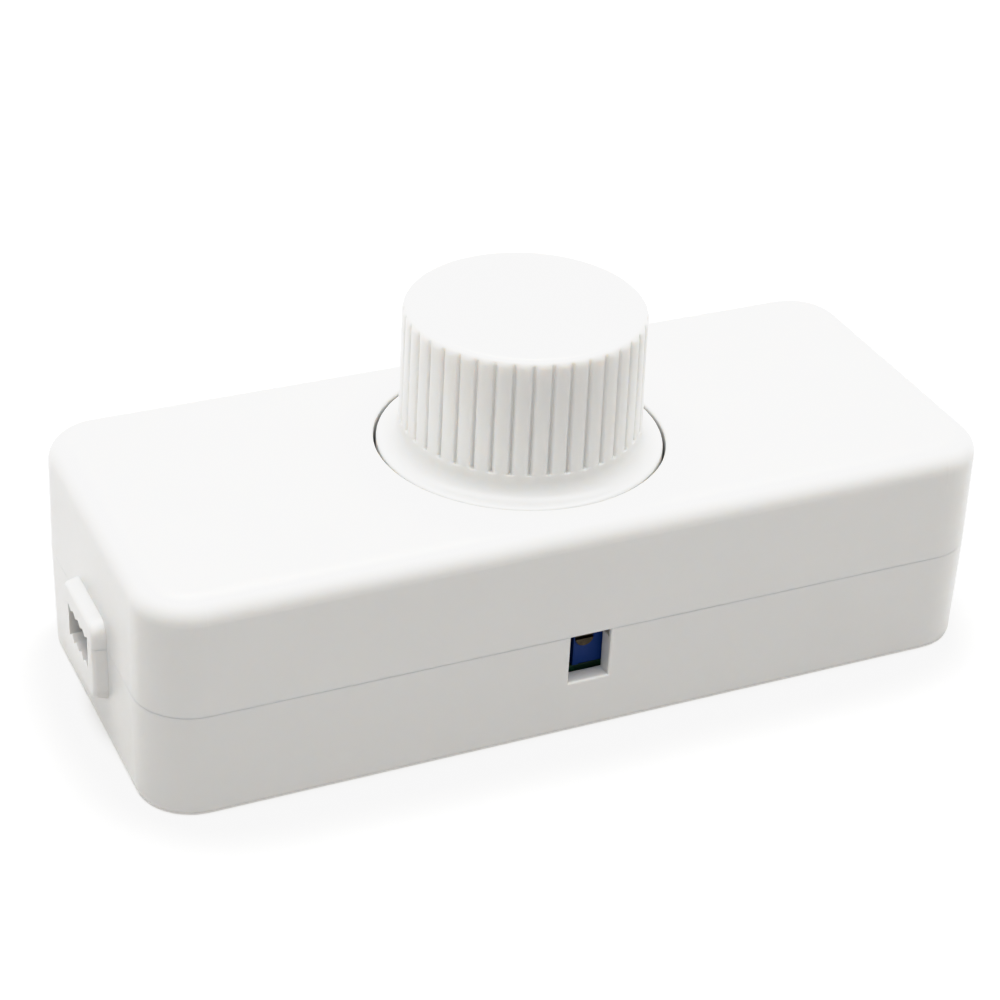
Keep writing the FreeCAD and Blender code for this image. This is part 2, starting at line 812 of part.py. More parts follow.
def terminal_set(prefix, side):
    """A two-way screw terminal block at one end of the board, with its cages and screws."""
    face = f"{side} * (terminal_x + terminal_length)"
    low_x = "terminal_x" if side > 0 else "-(terminal_x + terminal_length)"
    housing = block(prefix + "_housing", low_x, "-terminal_width / 2", "board_top",
                    "terminal_length", "terminal_width", "terminal_height")
    openings = []
    cages = []
    screws = []
    for index, way in enumerate((-1, 1), start=1):
        y = f"({way} * terminal_pitch / 2)"
        name = f"{prefix}_way_{index}"
        depth = "(cage_length + 4 * cage_play)"
        window_x = f"{face} - {depth} + {OVERSHOOT}" if side > 0 else f"{face} - {OVERSHOOT}"
        openings.append(block(name + "_window", window_x, f"{y} - cage_width / 2 - cage_play",
                              "cage_floor - cage_play", f"{depth}", "cage_width + 2 * cage_play",
                              "cage_height + 2 * cage_play"))
        middle = f"({face} - {side} * ({depth} - {OVERSHOOT} - cage_play - cage_length / 2))"
        openings.append(rod(name + "_screw_way", middle, y, "cage_floor + cage_height",
                            "clamp_head_radius + cage_play", "terminal_height"))
        cage = block(name + "_cage_blank", f"{middle} - cage_length / 2", f"{y} - cage_width / 2",
                     "cage_floor", "cage_length", "cage_width", "cage_height")
        passage = block(name + "_wire_way", f"{middle} - cage_length", f"{y} - cage_width / 2 + cage_wall",
                        "cage_floor + cage_wall", "2 * cage_length", "cage_width - 2 * cage_wall",
                        "cage_height - 2.5 * cage_wall")
        tapped = rod(name + "_tapped_hole", middle, y, "cage_floor + cage_height / 2",
                     "clamp_screw_radius + cage_play / 2", "cage_height")
        cages.append(cut(name + "_cage", cage, [passage, tapped]))
        screws.append(clamp_screw(name, middle, y))
        drills_x = f"{side} * (terminal_x + terminal_length / 2)"
        terminal_pins.append(board_lead(f"{prefix}_pin_{index}", drills_x, y, "terminal_pin_radius"))
    sub_part(cut(prefix + "_terminal_block", housing, openings), prefix + "_terminal_block")
    sub_part(group(prefix + "_terminal_cages", cages), prefix + "_terminal_cages")
    sub_part(group(prefix + "_terminal_screws", screws), prefix + "_terminal_screws")


def clamp_screw(name, x, y):
    seat = "(cage_floor + cage_height + cage_play)"
    head = rod(name + "_screw_head", x, y, seat, "clamp_head_radius", "clamp_head_height")
    shank = rod(name + "_screw_shank", x, y, f"{seat} - cage_height / 2", "clamp_screw_radius",
                "cage_height / 2")
    slit = block(name + "_screw_slit", f"{x} - 2 * clamp_head_radius", f"{y} - clamp_head_radius / 6",
                 f"{seat} + clamp_head_height / 2", "4 * clamp_head_radius", "clamp_head_radius / 3",
                 "clamp_head_height")
    return cut(name + "_screw", fuse(name + "_screw_blank", [head, shank]), [slit])


# ---------------------------------------------------------------- push switch

def switch_base():
    half = "(switch_side / 2)"
    outside = block("switch_outside", f"-{half}", f"-{half}", "board_top",
                    "switch_side", "switch_side", "switch_top - board_top")
    inside = block("switch_inside", f"switch_wall - {half}", f"switch_wall - {half}", "switch_floor_top",
                   "switch_side - 2 * switch_wall", "switch_side - 2 * switch_wall", "switch_side")
    sub_part(cut("switch_base", outside, [inside] + contact_legs("switch_way")), "switch_base")


def contact_legs(prefix):
    """The two flat legs that carry the fixed contacts down through the floor and the board."""
    legs = []
    for index, side in enumerate((-1, 1), start=1):
        legs.append(block(f"{prefix}_{index}", f"{side} * contact_leg_x - contact_leg_thickness / 2",
                          "-contact_leg_width / 2", "lead_end",
                          "contact_leg_thickness", "contact_leg_width", "contact_pad_top - lead_end"))
    return legs


def switch_fixed_contacts():
    legs = contact_legs("contact_leg")
    contacts = []
    for index, (leg, side) in enumerate(zip(legs, (-1, 1)), start=1):
        left_edge = "contact_pad_inner" if side > 0 else "-contact_pad_inner - contact_pad_length"
        contact_pad = block(f"contact_pad_{index}", left_edge, "-contact_pad_width / 2",
                            "contact_pad_top - contact_pad_thickness",
                            "contact_pad_length", "contact_pad_width", "contact_pad_thickness")
        contacts.append(fuse(f"fixed_contact_{index}", [leg, contact_pad]))
        lead_hole(f"contact_{index}", f"{side} * contact_leg_x", "0", "contact_leg_width / 2 + lead_gap")
    sub_part(group("switch_fixed_contacts", contacts), "switch_fixed_contacts")


def switch_plunger():
    body = new_body("switch_plunger")
    plate = sketch_on(body, "plunger_plate", offset="plunger_flange_bottom")
    rectangle(plate, "-plunger_side / 2", "plunger_side / 2", "-plunger_side / 2", "plunger_side / 2")
    pad(body, plate, "plunger_top - plunger_flange_bottom")
    cup = sketch_on(body, "plunger_cup", offset="plunger_cup_bottom")
    circle(cup, "0", "0", "plunger_cup_radius")
    pad(body, cup, "plunger_flange_bottom - plunger_cup_bottom")
    seat = sketch_on(body, "spring_pocket", offset="plunger_cup_bottom")
    circle(seat, "0", "0", "spring_pocket_radius")
    pocket(body, seat, "spring_top - plunger_cup_bottom", forwards=True)


def contact_ring():
    contact = ring("contact_ring", "0", "0", "plunger_flange_bottom - contact_ring_thickness",
                   "contact_ring_radius", "contact_ring_bore", "contact_ring_thickness")
    sub_part(contact, "switch_contact_ring")


def switch_spring():
    body = new_body("switch_spring")
    wire = sketch_on(body, "spring_wire", "XZ_Plane")
    circle(wire, "spring_radius", "switch_floor_top + spring_wire_radius", "spring_wire_radius")
    coil = body.newObject("PartDesign::AdditiveHelix", "spring_coil")
    coil.Profile = wire
    coil.ReferenceAxis = (wire, ["V_Axis"])
    coil.Mode = "height-turns-angle"
    bind(coil, Height="spring_top - switch_floor_top - 2 * spring_wire_radius", Turns="spring_turns")
    doc.recompute()


# ---------------------------------------------------------------- potentiometer

def pot_wafer():
    half = "(switch_side / 2)"
    plate = block("wafer_plate", f"-{half}", f"-{half}", "switch_top",
                  "switch_side", "switch_side", "wafer_thickness")
    bore = rod("wafer_bore_tool", "0", "0", "board_top", "wafer_bore", "switch_side")
    sub_part(cut("pot_wafer", plate, [bore]), "pot_wafer")


def pot_track():
    low = "(switch_top + wafer_thickness)"
    full = ring("track_ring", "0", "0", low, "track_outer_radius", "track_inner_radius", "track_thickness")
    gap = block("track_gap", "-track_inner_radius / 2", "-2 * track_outer_radius", low,
                "track_inner_radius", "2 * track_outer_radius", "1")
    sub_part(cut("pot_track", full, [gap]), "pot_track")


def pot_wiper():
    body = new_body("pot_wiper")
    disc = sketch_on(body, "rotor_disc", offset="rotor_bottom")
    circle(disc, "0", "0", "rotor_radius")
    d_outline(disc, "rotor_bore", "shaft_flat + rotor_bore - shaft_radius")
    pad(body, disc, "rotor_top - rotor_bottom")


def pot_wiper_contact():
    """The brush: a spring ring under the rotor with one nib that runs on the track."""
    spring_ring = ring("brush_ring", "0", "0", "rotor_bottom - brush_thickness", "track_outer_radius",
                       "track_inner_radius", "brush_thickness")
    low = "(switch_top + wafer_thickness + brush_thickness)"
    nib = block("brush_nib", "-brush_nib_width / 2", "track_inner_radius + brush_thickness", low,
                "brush_nib_width", "brush_nib_length", f"rotor_bottom - {low}")
    sub_part(fuse("pot_wiper_contact", [spring_ring, nib]), "pot_wiper_contact")


def pot_cover():
    low = "(switch_top + wafer_thickness)"
    shell = rod("cover_outside", "0", "0", low, "pot_cover_radius", f"pot_cover_top - {low}")
    space = rod("cover_inside", "0", "0", f"{low} - {OVERSHOOT}", "pot_cover_radius - pot_cover_wall",
                f"pot_cover_top - pot_cover_roof - {low} + {OVERSHOOT}")
    bore = rod("cover_bore", "0", "0", low, "bushing_radius", "pot_cover_top")
    sub_part(cut("pot_cover", shell, [space, bore]), "pot_cover")


def pot_bushing():
    flange_low = "(pot_cover_top - pot_cover_roof - bushing_flange_thickness)"
    flange = rod("bushing_flange", "0", "0", flange_low, "bushing_flange_radius", "bushing_flange_thickness")
    neck = rod("bushing_neck", "0", "0", flange_low, "bushing_radius", f"bushing_top - {flange_low}")
    bore = rod("bushing_bore_tool", "0", "0", "board_top", "bushing_bore", "bushing_top")
    sub_part(cut("pot_bushing", fuse("bushing_blank", [flange, neck]), [bore]), "pot_bushing")


def pot_terminals():
    """Three flat tags that leave the wafer's front edge and go down through the board."""
    front = "(-switch_side / 2 - tag_reach)"
    tags = []
    for index in (-1, 0, 1):
        x = f"{index} * tag_pitch"
        name = f"pot_tag_{index + 2}"
        lug = block(name + "_lug", f"{x} - tag_width / 2", front, "switch_top + tag_rise",
                    "tag_width", "tag_reach", "tag_thickness")
        leg = block(name + "_leg", f"{x} - tag_width / 2", front, "lead_end",
                    "tag_width", "tag_thickness", "switch_top + tag_rise + tag_thickness - lead_end")
        tags.append(fuse(name, [lug, leg]))
        lead_hole(name, x, f"{front} + tag_thickness / 2", "tag_width / 2")
    sub_part(group("pot_terminals", tags), "pot_terminals")


def bushing_fasteners():
    washer = ring("washer_ring", "0", "0", "well_floor_top", "washer_radius",
                  "bushing_hole_radius", "washer_thickness")
    sub_part(washer, "bushing_washer")
    seat = "(well_floor_top + washer_thickness)"
    blank = hexagon("nut_blank", "0", "0", seat, "nut_circumradius", "nut_height")
    bore = rod("nut_bore", "0", "0", "board_top", "bushing_radius + thread_gap", "bushing_top")
    sub_part(cut("bushing_nut", blank, [bore]), "bushing_nut")


# ---------------------------------------------------------------- shaft and knob

def shaft_side(body, name, low, high):
    """Mill the flat on the +Y side of the shaft between two heights."""
    sketch = sketch_on(body, name, offset=low)
    rectangle(sketch, "-2 * shaft_radius", "2 * shaft_radius", "shaft_flat", "2 * shaft_radius")
    pocket(body, sketch, f"{high} - {low}", forwards=True)


def control_shaft():
    body = new_body("control_shaft")
    stem = sketch_on(body, "shaft_round", offset="shaft_bottom")
    circle(stem, "0", "0", "shaft_radius")
    pad(body, stem, "shaft_top - shaft_bottom")
    shaft_side(body, "lower_flat", "shaft_bottom", "lower_flat_top")
    shaft_side(body, "upper_flat", "upper_flat_bottom", f"shaft_top + {OVERSHOOT}")
    groove = sketch_on(body, "clip_groove", offset="clip_bottom")
    circle(groove, "0", "0", "2 * shaft_radius")
    circle(groove, "0", "0", "clip_groove_radius")
    pocket(body, groove, "clip_thickness", forwards=True)


def shaft_clip():
    """E-clip in the shaft's groove, open towards -Y, which stops the shaft from pulling out."""
    clip = ring("clip_ring", "0", "0", "clip_bottom", "clip_radius", "clip_groove_radius", "clip_thickness")
    mouth = block("clip_opening", "-clip_mouth / 2", "-2 * clip_radius", f"clip_bottom - {OVERSHOOT}",
                  "clip_mouth", "2 * clip_radius", f"clip_thickness + {2 * OVERSHOOT}")
    sub_part(cut("shaft_clip", clip, [mouth]), "shaft_clip")


def knob():
    body = new_body("knob")
    section = sketch_on(body, "knob_section", "XZ_Plane")
    inner = "(grip_top_radius - knob_wall)"
    polygon(section, [
        ("0", "knob_top"),
        ("0", "hub_bottom"),
        ("hub_radius", "hub_bottom"),
        ("hub_radius", "knob_top - knob_roof"),
        (inner, "knob_top - knob_roof"),
        (f"{inner} + skirt_step", "skirt_bottom"),
        ("flange_radius", "skirt_bottom"),
        ("flange_radius", "flange_top"),
        ("grip_bottom_radius", "flange_top"),
        ("grip_top_radius", "knob_top"),
    ])
    turned = body.newObject("PartDesign::Revolution", "knob_turned")
    turned.Profile = section
    turned.ReferenceAxis = (section, ["V_Axis"])
    turned.Angle = 360
    doc.recompute()
    for name, size, radius, level in (
            ("knob_top_edge", "knob_edge_radius", "grip_top_radius", "knob_top"),
            ("knob_flare", "flare_radius", "grip_bottom_radius", "flange_top"),
            ("knob_rim", "flange_edge_radius", "flange_radius", "flange_top")):
        round_edges(body, name, size, circular_edge(radius, level))
    knob_ribs(body)
    bore = sketch_on(body, "knob_bore", offset="hub_bottom")
    d_outline(bore, "hub_bore", "shaft_flat + leaf_thickness + leaf_play")
    pocket(body, bore, "hub_bore_top - hub_bottom", forwards=True)
    knob_flutes(body)


def circular_edge(radius, level):
    wanted_radius = number(radius)
    wanted_level = number(level)

    def test(edge):
        box = edge.BoundBox
        flat = abs(box.ZMin - wanted_level) < 1e-3 and abs(box.ZMax - wanted_level) < 1e-3
        return flat and abs(box.XMax - wanted_radius) < 1e-3
    return test


def knob_ribs(body):
    rib = sketch_on(body, "knob_rib", offset="rib_bottom")
    rectangle(rib, "hub_radius - rib_bite", "grip_top_radius - knob_wall + rib_bite",
              "-rib_thickness / 2", "rib_thickness / 2")
    first = pad(body, rib, "knob_top - knob_roof / 2 - rib_bottom")
    repeat_round(body, "knob_rib_pattern", first, "rib_count")


def knob_flutes(body):
    flute = sketch_on(body, "knob_flute", offset="flute_bottom")
    reach = "(flute_floor_radius + flute_radius)"
    circle(flute, f"{reach} * cos(flute_turn * 1 deg)", f"{reach} * sin(flute_turn * 1 deg)", "flute_radius")
    first = pocket(body, flute, f"knob_top - flute_bottom + {OVERSHOOT}", forwards=True)
    repeat_round(body, "knob_flute_pattern", first, "flute_count")


def repeat_round(body, name, feature, count):
    pattern = body.newObject("PartDesign::PolarPattern", name)
    pattern.Originals = [feature]
    axis = next(item for item in body.Origin.OriginFeatures if item.Role == "Z_Axis")
    pattern.Axis = (axis, [""])
    pattern.Angle = 360
    bind(pattern, Occurrences=count)
    body.Tip = pattern
    doc.recompute()


def knob_clip():
    """Spring leaf between the shaft's flat and the flat of the knob's bore."""
    leaf = block("knob_leaf", "-leaf_width / 2", "shaft_flat + thread_gap", "leaf_bottom", "leaf_width",
                 "leaf_thickness", "leaf_top - leaf_bottom")
    sub_part(leaf, "knob_clip")


# ---------------------------------------------------------------- trimmer

SCREW_X = "(trimmer_left + trimmer_screw_inset)"
SCREW_Z = "(board_top + trimmer_height - trimmer_screw_inset)"


def trimmer_body():
    case = block("trimmer_case", "trimmer_left", "trimmer_front", "board_top + trimmer_foot_height",
                 "trimmer_width", "trimmer_depth", "trimmer_height - trimmer_foot_height")
    feet = [
        block(f"trimmer_foot_{index}", x, y, "board_top",
              "trimmer_foot_side", "trimmer_foot_side", "2 * trimmer_foot_height")
        for index, (x, y) in enumerate(
            (x, y)
            for x in ("trimmer_left", "trimmer_left + trimmer_width - trimmer_foot_side")
            for y in ("trimmer_front", "trimmer_front + trimmer_depth - trimmer_foot_side"))
    ]
    case = fuse("trimmer_case_on_feet", [case] + feet)
    head_way = rod("trimmer_head_way", SCREW_X, f"trimmer_front - {OVERSHOOT}", SCREW_Z,
                   "trimmer_head_radius + trimmer_head_play",
                   f"trimmer_head_length + wheel_play + {OVERSHOOT}", "y")
    worm_way = rod("trimmer_worm_way", SCREW_X, "trimmer_front", SCREW_Z,
                   "worm_radius + worm_play", "trimmer_head_length + worm_length + worm_end_play", "y")
    chamber_low = "(wheel_bottom - wheel_play)"
    chamber = ring("trimmer_chamber", "wheel_x", "wheel_y", chamber_low, "wheel_radius + wheel_play",
                   "wheel_post_radius", "wheel_thickness + 2 * wheel_play")
    sub_part(cut("trimmer_body", case, [head_way, worm_way, chamber]), "trimmer_body")


def trimmer_screw():
    front = "(trimmer_front - trimmer_proud)"
    head = rod("trimmer_head", SCREW_X, front, SCREW_Z, "trimmer_head_radius", "trimmer_head_length", "y")
    worm = rod("trimmer_worm", SCREW_X, front, SCREW_Z, "worm_radius",
               "trimmer_head_length + worm_length", "y")
    slit = block("trimmer_slit", f"{SCREW_X} - 2 * trimmer_head_radius", f"{front} - {OVERSHOOT}",
                 f"{SCREW_Z} - trimmer_slit_width / 2", "4 * trimmer_head_radius",
                 f"{OVERSHOOT} + trimmer_slit_depth", "trimmer_slit_width")
    sub_part(cut("trimmer_screw", fuse("trimmer_screw_blank", [head, worm]), [slit]), "trimmer_screw")


def trimmer_wheel():
    wheel = ring("wheel_ring", "wheel_x", "wheel_y", "wheel_bottom", "wheel_radius", "wheel_bore",
                 "wheel_thickness")
    sub_part(wheel, "trimmer_wheel")


def trimmer_pins():
    middle = "(trimmer_left + trimmer_width / 2)"
    pins = []
    for index in (-1, 0, 1):
        pins.append(board_lead(f"trimmer_pin_{index + 2}", f"{middle} + {index} * pin_pitch", "wheel_y",
                               "trimmer_pin_radius"))
    sub_part(group("trimmer_pins", pins), "trimmer_pins")


# ---------------------------------------------------------------- fuse

def fuse_parts():
    ends = ("fuse_x - fuse_length / 2", "fuse_x + fuse_length / 2 - fuse_cap_length")
    glass_start = "fuse_x - fuse_length / 2 + 2 * fuse_cap_wall"
    glass_length = "fuse_length - 4 * fuse_cap_wall"
    glass = rod("fuse_glass", glass_start, "fuse_y", "fuse_z", "fuse_glass_radius", glass_length, "x")
    hollow = rod("fuse_hollow", "fuse_x - fuse_length", "fuse_y", "fuse_z",
                 "fuse_glass_radius - fuse_glass_wall", "2 * fuse_length", "x")
    sub_part(cut("fuse_tube", glass, [hollow]), "fuse_tube")
    caps = []
    clips = []
    for index, start in enumerate(ends, start=1):
        cap = rod(f"fuse_cap_{index}_outside", start, "fuse_y", "fuse_z",
                  "fuse_cap_radius", "fuse_cap_length", "x")
        inside_start = f"{start} + 2 * fuse_cap_wall" if index == 1 else f"{start} - 2 * fuse_cap_wall"
        inside = rod(f"fuse_cap_{index}_inside", inside_start, "fuse_y", "fuse_z",
                     "fuse_glass_radius + thread_gap", "fuse_cap_length", "x")
        caps.append(cut(f"fuse_cap_{index}", cap, [inside]))
        clips.append(fuse_clip(index, start))
    sub_part(group("fuse_caps", caps), "fuse_caps")
    sub_part(group("fuse_clips", clips), "fuse_clips")


def fuse_clip(index, start):
    """A sheet-metal clip: a floor on the board, two upright cheeks and a solder pin."""
    arm = "(fuse_cap_radius + fuse_clip_play)"
    name = f"fuse_clip_{index}"
    width = "fuse_cap_length"
    floor_width = f"2 * ({arm} + fuse_clip_thickness)"
    pieces = [
        block(name + "_floor", start, f"fuse_y - {arm} - fuse_clip_thickness", "board_top",
              width, floor_width, "fuse_clip_thickness"),
        block(name + "_front", start, f"fuse_y - {arm} - fuse_clip_thickness", "board_top",
              width, "fuse_clip_thickness", "fuse_clip_top - board_top"),
        block(name + "_back", start, f"fuse_y + {arm}", "board_top",
              width, "fuse_clip_thickness", "fuse_clip_top - board_top"),
        board_lead(name + "_pin", f"{start} + fuse_cap_length / 2", "fuse_y", "fuse_pin_radius",
                   "(board_top + fuse_clip_thickness / 2)"),
    ]
    return fuse(name, pieces)


# ---------------------------------------------------------------- triac and heat sink

TAB_TOP = "(tab_bottom + tab_thickness)"
TRIAC_SIDE = "(triac_y - triac_width / 2)"


def heat_sink():
    """An L of aluminium: a plate under the triac and an upright fin along the front."""
    body = new_body("heat_sink")
    profile = sketch_on(body, "sink_profile", "YZ_Plane", "sink_start")
    top = "sink_bottom + sink_thickness"
    polygon(profile, [
        ("sink_front", "sink_bottom"),
        ("sink_back", "sink_bottom"),
        ("sink_back", top),
        ("sink_front + sink_thickness", top),
        ("sink_front + sink_thickness", "sink_bottom + sink_height"),
        ("sink_front", "sink_bottom + sink_height"),
    ])
    pad(body, profile, "triac_x + tab_length - sink_start")
    hole = sketch_on(body, "sink_hole", offset=top)
    circle(hole, "sink_screw_x", "triac_y", "sink_screw_hole")
    pocket(body, hole, f"sink_thickness + {OVERSHOOT}")


def triac():
    tab = block("tab_plate", "triac_x", TRIAC_SIDE, "tab_bottom",
                "tab_length", "triac_width", "tab_thickness")
    hole = rod("tab_hole", "sink_screw_x", "triac_y", "board_top", "sink_screw_hole", "tab_bottom")
    sub_part(cut("triac_tab", tab, [hole]), "triac_tab")
    case = block("triac_case", "triac_x", TRIAC_SIDE, TAB_TOP, "triac_body_length", "triac_width",
                 "triac_body_height")
    sub_part(case, "triac_body")
    leads = []
    for index in (-1, 0, 1):
        y = f"(triac_y + {index} * pin_pitch)"
        name = f"triac_lead_{index + 2}"
        left = "triac_x - triac_lead_run"
        near = f"{y} - triac_lead_width / 2"
        low = f"({TAB_TOP} + triac_lead_rise)"
        flat = block(name + "_flat", left, near, low,
                     "triac_lead_run", "triac_lead_width", "triac_lead_thickness")
        leg = block(name + "_leg", left, near, "lead_end",
                    "triac_lead_thickness", "triac_lead_width", f"{low} + triac_lead_thickness - lead_end")
        leads.append(fuse(name, [flat, leg]))
        lead_hole(name, f"{left} + triac_lead_thickness / 2", y, "triac_lead_width / 2 + lead_gap")
    sub_part(group("triac_leads", leads), "triac_leads")


def heat_sink_fasteners():
    x = "sink_screw_x"
    y = "triac_y"
    nut_low = "(board_top - board_thickness - sink_nut_height)"
    head = rod("sink_screw_head", x, y, TAB_TOP, "sink_screw_head_radius", "sink_screw_head_height")
    shank = rod("sink_screw_shank", x, y, nut_low, "sink_screw_radius", f"{TAB_TOP} - {nut_low}")
    arms = cross_recess("sink_screw", x, y, f"{TAB_TOP} + sink_screw_head_height / 2",
                        "sink_screw_head_radius", "sink_screw_head_height")
    sub_part(cut("sink_screw", fuse("sink_screw_blank", [head, shank]), arms), "heat_sink_screw")
    lead_hole("sink_screw", x, y, "sink_screw_hole - lead_gap")
    blank = hexagon("sink_nut_blank", x, y, nut_low, "sink_nut_circumradius", "sink_nut_height")
    bore = rod("sink_nut_bore", x, y, "0", "sink_screw_radius + thread_gap", "board_top")
    sub_part(cut("sink_nut", blank, [bore]), "heat_sink_nut")


# ---------------------------------------------------------------- choke

def choke():
    core = doc.addObject("Part::Torus", "choke_ring")
    bind(core, Radius1="choke_ring_radius", Radius2="choke_core_radius")
    place(core, "choke_x", "choke_y", "choke_z")
    sub_part(core, "choke_core")
    turns = []
    for index in range(int(number("winding_turns"))):
        angle = f"({index} * 360deg / winding_turns)"
        turn = doc.addObject("Part::Torus", f"choke_turn_{index + 1}")
        bind(turn, Radius1="choke_core_radius + winding_wire_radius + winding_gap",
             Radius2="winding_wire_radius")
        bearing = 360.0 * index / number("winding_turns")
        upright = Rotation(Vector(0, 0, 1), bearing) * Rotation(Vector(1, 0, 0), 90)
        place(turn, f"choke_x + choke_ring_radius * cos({angle})",
              f"choke_y + choke_ring_radius * sin({angle})", "choke_z", upright)
        turns.append(turn)
    sub_part(group("choke_winding", turns), "choke_winding")


# ---------------------------------------------------------------- capacitors and small parts

def softened_block(label, x, y, length, width, height):
    """A moulded component case standing on the board, with its upright edges rounded."""
    body = new_body(label)
    plan = sketch_on(body, label + "_plan", offset="board_top")
    rectangle(plan, x, f"{x} + {length}", y, f"{y} + {width}")
    pad(body, plan, height)
    upright = number(height) - 1e-3
    round_edges(body, label + "_edges", "case_edge_radius",
                lambda edge: edge.BoundBox.ZLength > upright)


def capacitors():
    softened_block("suppression_capacitor", "film_x", "film_y", "film_length", "film_width", "film_height")
    softened_block("timing_capacitor", "timing_x", "timing_y", "timing_thickness", "timing_width",
                   "timing_height")
    can = doc.addObject("Part::Cylinder", "can_blank")
    bind(can, Radius="can_radius", Height="can_height")
    place(can, "can_x", "can_y", "board_top")
    sub_part(can, "electrolytic_capacitor")
    leads = []
    for side in (-1, 1):
        number_in_pair = (side + 3) // 2
        leads.append(board_lead(f"film_lead_{number_in_pair}",
                                f"film_x + film_length / 2 + {side} * film_pitch / 2",
                                "film_y + film_width / 2", "film_lead_radius"))
        leads.append(board_lead(f"timing_lead_{number_in_pair}", "timing_x + timing_thickness / 2",
                                f"timing_y + timing_width / 2 + {side} * timing_pitch / 2", "wire_radius"))
        leads.append(board_lead(f"can_lead_{number_in_pair}", f"can_x + {side} * can_pitch / 2",
                                "can_y", "wire_radius"))
    sub_part(group("capacitor_leads", leads), "capacitor_leads")


def axial_part(name, x, y, radius, length):
    """A body lying along Y above the board, and its two bent wire leads."""
    case = rod(name + "_case", x, f"{y} - {length} / 2", "axial_z", radius, length, "y")
    leads = []
    for index, side in enumerate((-1, 1), start=1):
        end = f"({y} + {side} * axial_span / 2)"
        run = f"(axial_span / 2 - {length} / 2)"
        start = f"{y} + {length} / 2" if side > 0 else end
        wire = rod(f"{name}_wire_{index}", x, start, "axial_z", "wire_radius", run, "y")
        leg = board_lead(f"{name}_leg_{index}", x, end, "wire_radius", "axial_z")
        elbow = doc.addObject("Part::Sphere", f"{name}_elbow_{index}")
        bind(elbow, Radius="wire_radius")
        place(elbow, x, end, "axial_z")
        leads.append(fuse(f"{name}_lead_{index}", [wire, leg, elbow]))
    return case, leads


def axial_parts():
    cases = []
    all_leads = []
    for index in range(2):
        case, leads = axial_part(f"resistor_{index + 1}", f"resistor_first_x + {index} * resistor_step",
                                 "resistor_y", "resistor_radius", "resistor_length")
        cases.append(case)
        all_leads += leads
    sub_part(group("resistor_set", cases), "resistors")
    sub_part(group("resistor_lead_set", all_leads), "resistor_leads")
    case, leads = axial_part("diac", "diac_x", "diac_y", "diac_radius", "diac_length")
    sub_part(case, "diac")
    sub_part(group("diac_lead_set", leads), "diac_leads")


def controller_chip():
    sub_part(block("chip_case", "chip_x - chip_width / 2", "chip_y - chip_length / 2", "chip_bottom",
                   "chip_width", "chip_length", "chip_height"), "controller_chip")
    pins = []
    for side in (-1, 1):
        for place_in_row in range(4):
            y = f"(chip_y + ({place_in_row} - 1.5) * pin_pitch)"
            name = f"chip_pin_{place_in_row + 1 if side < 0 else place_in_row + 5}"
            outer = "(chip_row + chip_pin_thickness / 2)"
            shoulder_x = "chip_x + chip_width / 2" if side > 0 else f"chip_x - {outer}"
            leg_x = f"chip_x + {outer} - chip_pin_thickness" if side > 0 else f"chip_x - {outer}"
            shoulder = block(name + "_shoulder", shoulder_x, f"{y} - chip_pin_width / 2", "chip_pin_z",
                             f"{outer} - chip_width / 2", "chip_pin_width", "chip_pin_thickness")
            leg = block(name + "_leg", leg_x, f"{y} - chip_pin_width / 2", "lead_end",
                        "chip_pin_thickness", "chip_pin_width", "chip_pin_z + chip_pin_thickness - lead_end")
            pins.append(fuse(name, [shoulder, leg]))
            lead_hole(name, f"chip_x + {side} * chip_row", y, "chip_pin_width / 2 + lead_gap")
    sub_part(group("chip_pins", pins), "chip_pins")


# ---------------------------------------------------------------- circuit board

def circuit_board():
    plate = block("board_plate", "-board_length / 2", "-board_width / 2", "board_top - board_thickness",
                  "board_length", "board_width", "board_thickness")
    for index, (side_x, side_y) in enumerate(FOUR_CORNERS, start=1):
        lead_hole(f"board_fixing_{index}", f"{side_x} * standoff_x", f"{side_y} * standoff_y",
                  "board_screw_radius")
    sub_part(cut("circuit_board", plate, drills), "circuit_board")


def board_screws():
    screws = []
    for index, side in enumerate((-1, 1), start=1):
        x = f"{side} * standoff_x"
        y = f"{-side} * standoff_y"
        name = f"board_screw_{index}"
        head = rod(name + "_head", x, y, "board_top", "board_screw_head_radius", "board_screw_head_height")
        shank = rod(name + "_shank", x, y, "board_screw_bottom", "board_screw_radius - thread_gap",
                    "board_top - board_screw_bottom")
        arms = cross_recess(name, x, y, "board_top + board_screw_head_height / 2",
                            "board_screw_head_radius", "board_screw_head_height")
        screws.append(cut(name, fuse(name + "_blank", [head, shank]), arms))
    sub_part(group("board_screws", screws), "board_screws")


# ---------------------------------------------------------------- assembly and output

terminal_pins = []

lower_shell()
upper_shell()
case_screws()
terminal_set("input", -1)
terminal_set("output", 1)
sub_part(group("terminal_pin_set", terminal_pins), "terminal_pins")
switch_base()
switch_fixed_contacts()
switch_plunger()
contact_ring()
switch_spring()
pot_wafer()
pot_track()
pot_wiper()
pot_wiper_contact()
pot_cover()
pot_bushing()
pot_terminals()
bushing_fasteners()
control_shaft()
shaft_clip()
knob()
knob_clip()
trimmer_body()
trimmer_screw()
trimmer_wheel()
trimmer_pins()
fuse_parts()
heat_sink()
triac()
heat_sink_fasteners()
choke()
capacitors()
axial_parts()
controller_chip()
circuit_board()
board_screws()
doc.recompute()

for item in doc.Objects:
    if "Invalid" in item.State or "Error" in item.State:
        raise RuntimeError(f"{item.Name} ({item.Label}) failed: {item.State}")

os.makedirs("parts", exist_ok=True)
for item in sub_parts:
    if item.Shape.isNull() or not item.Shape.isValid():
        raise RuntimeError(f"{item.Label} has no valid shape")
    item.Shape.exportStep(f"parts/{item.Label}.step")
    print(f"{item.Label}: {len(item.Shape.Solids)} solid(s), {item.Shape.Volume:.2f} mm3")
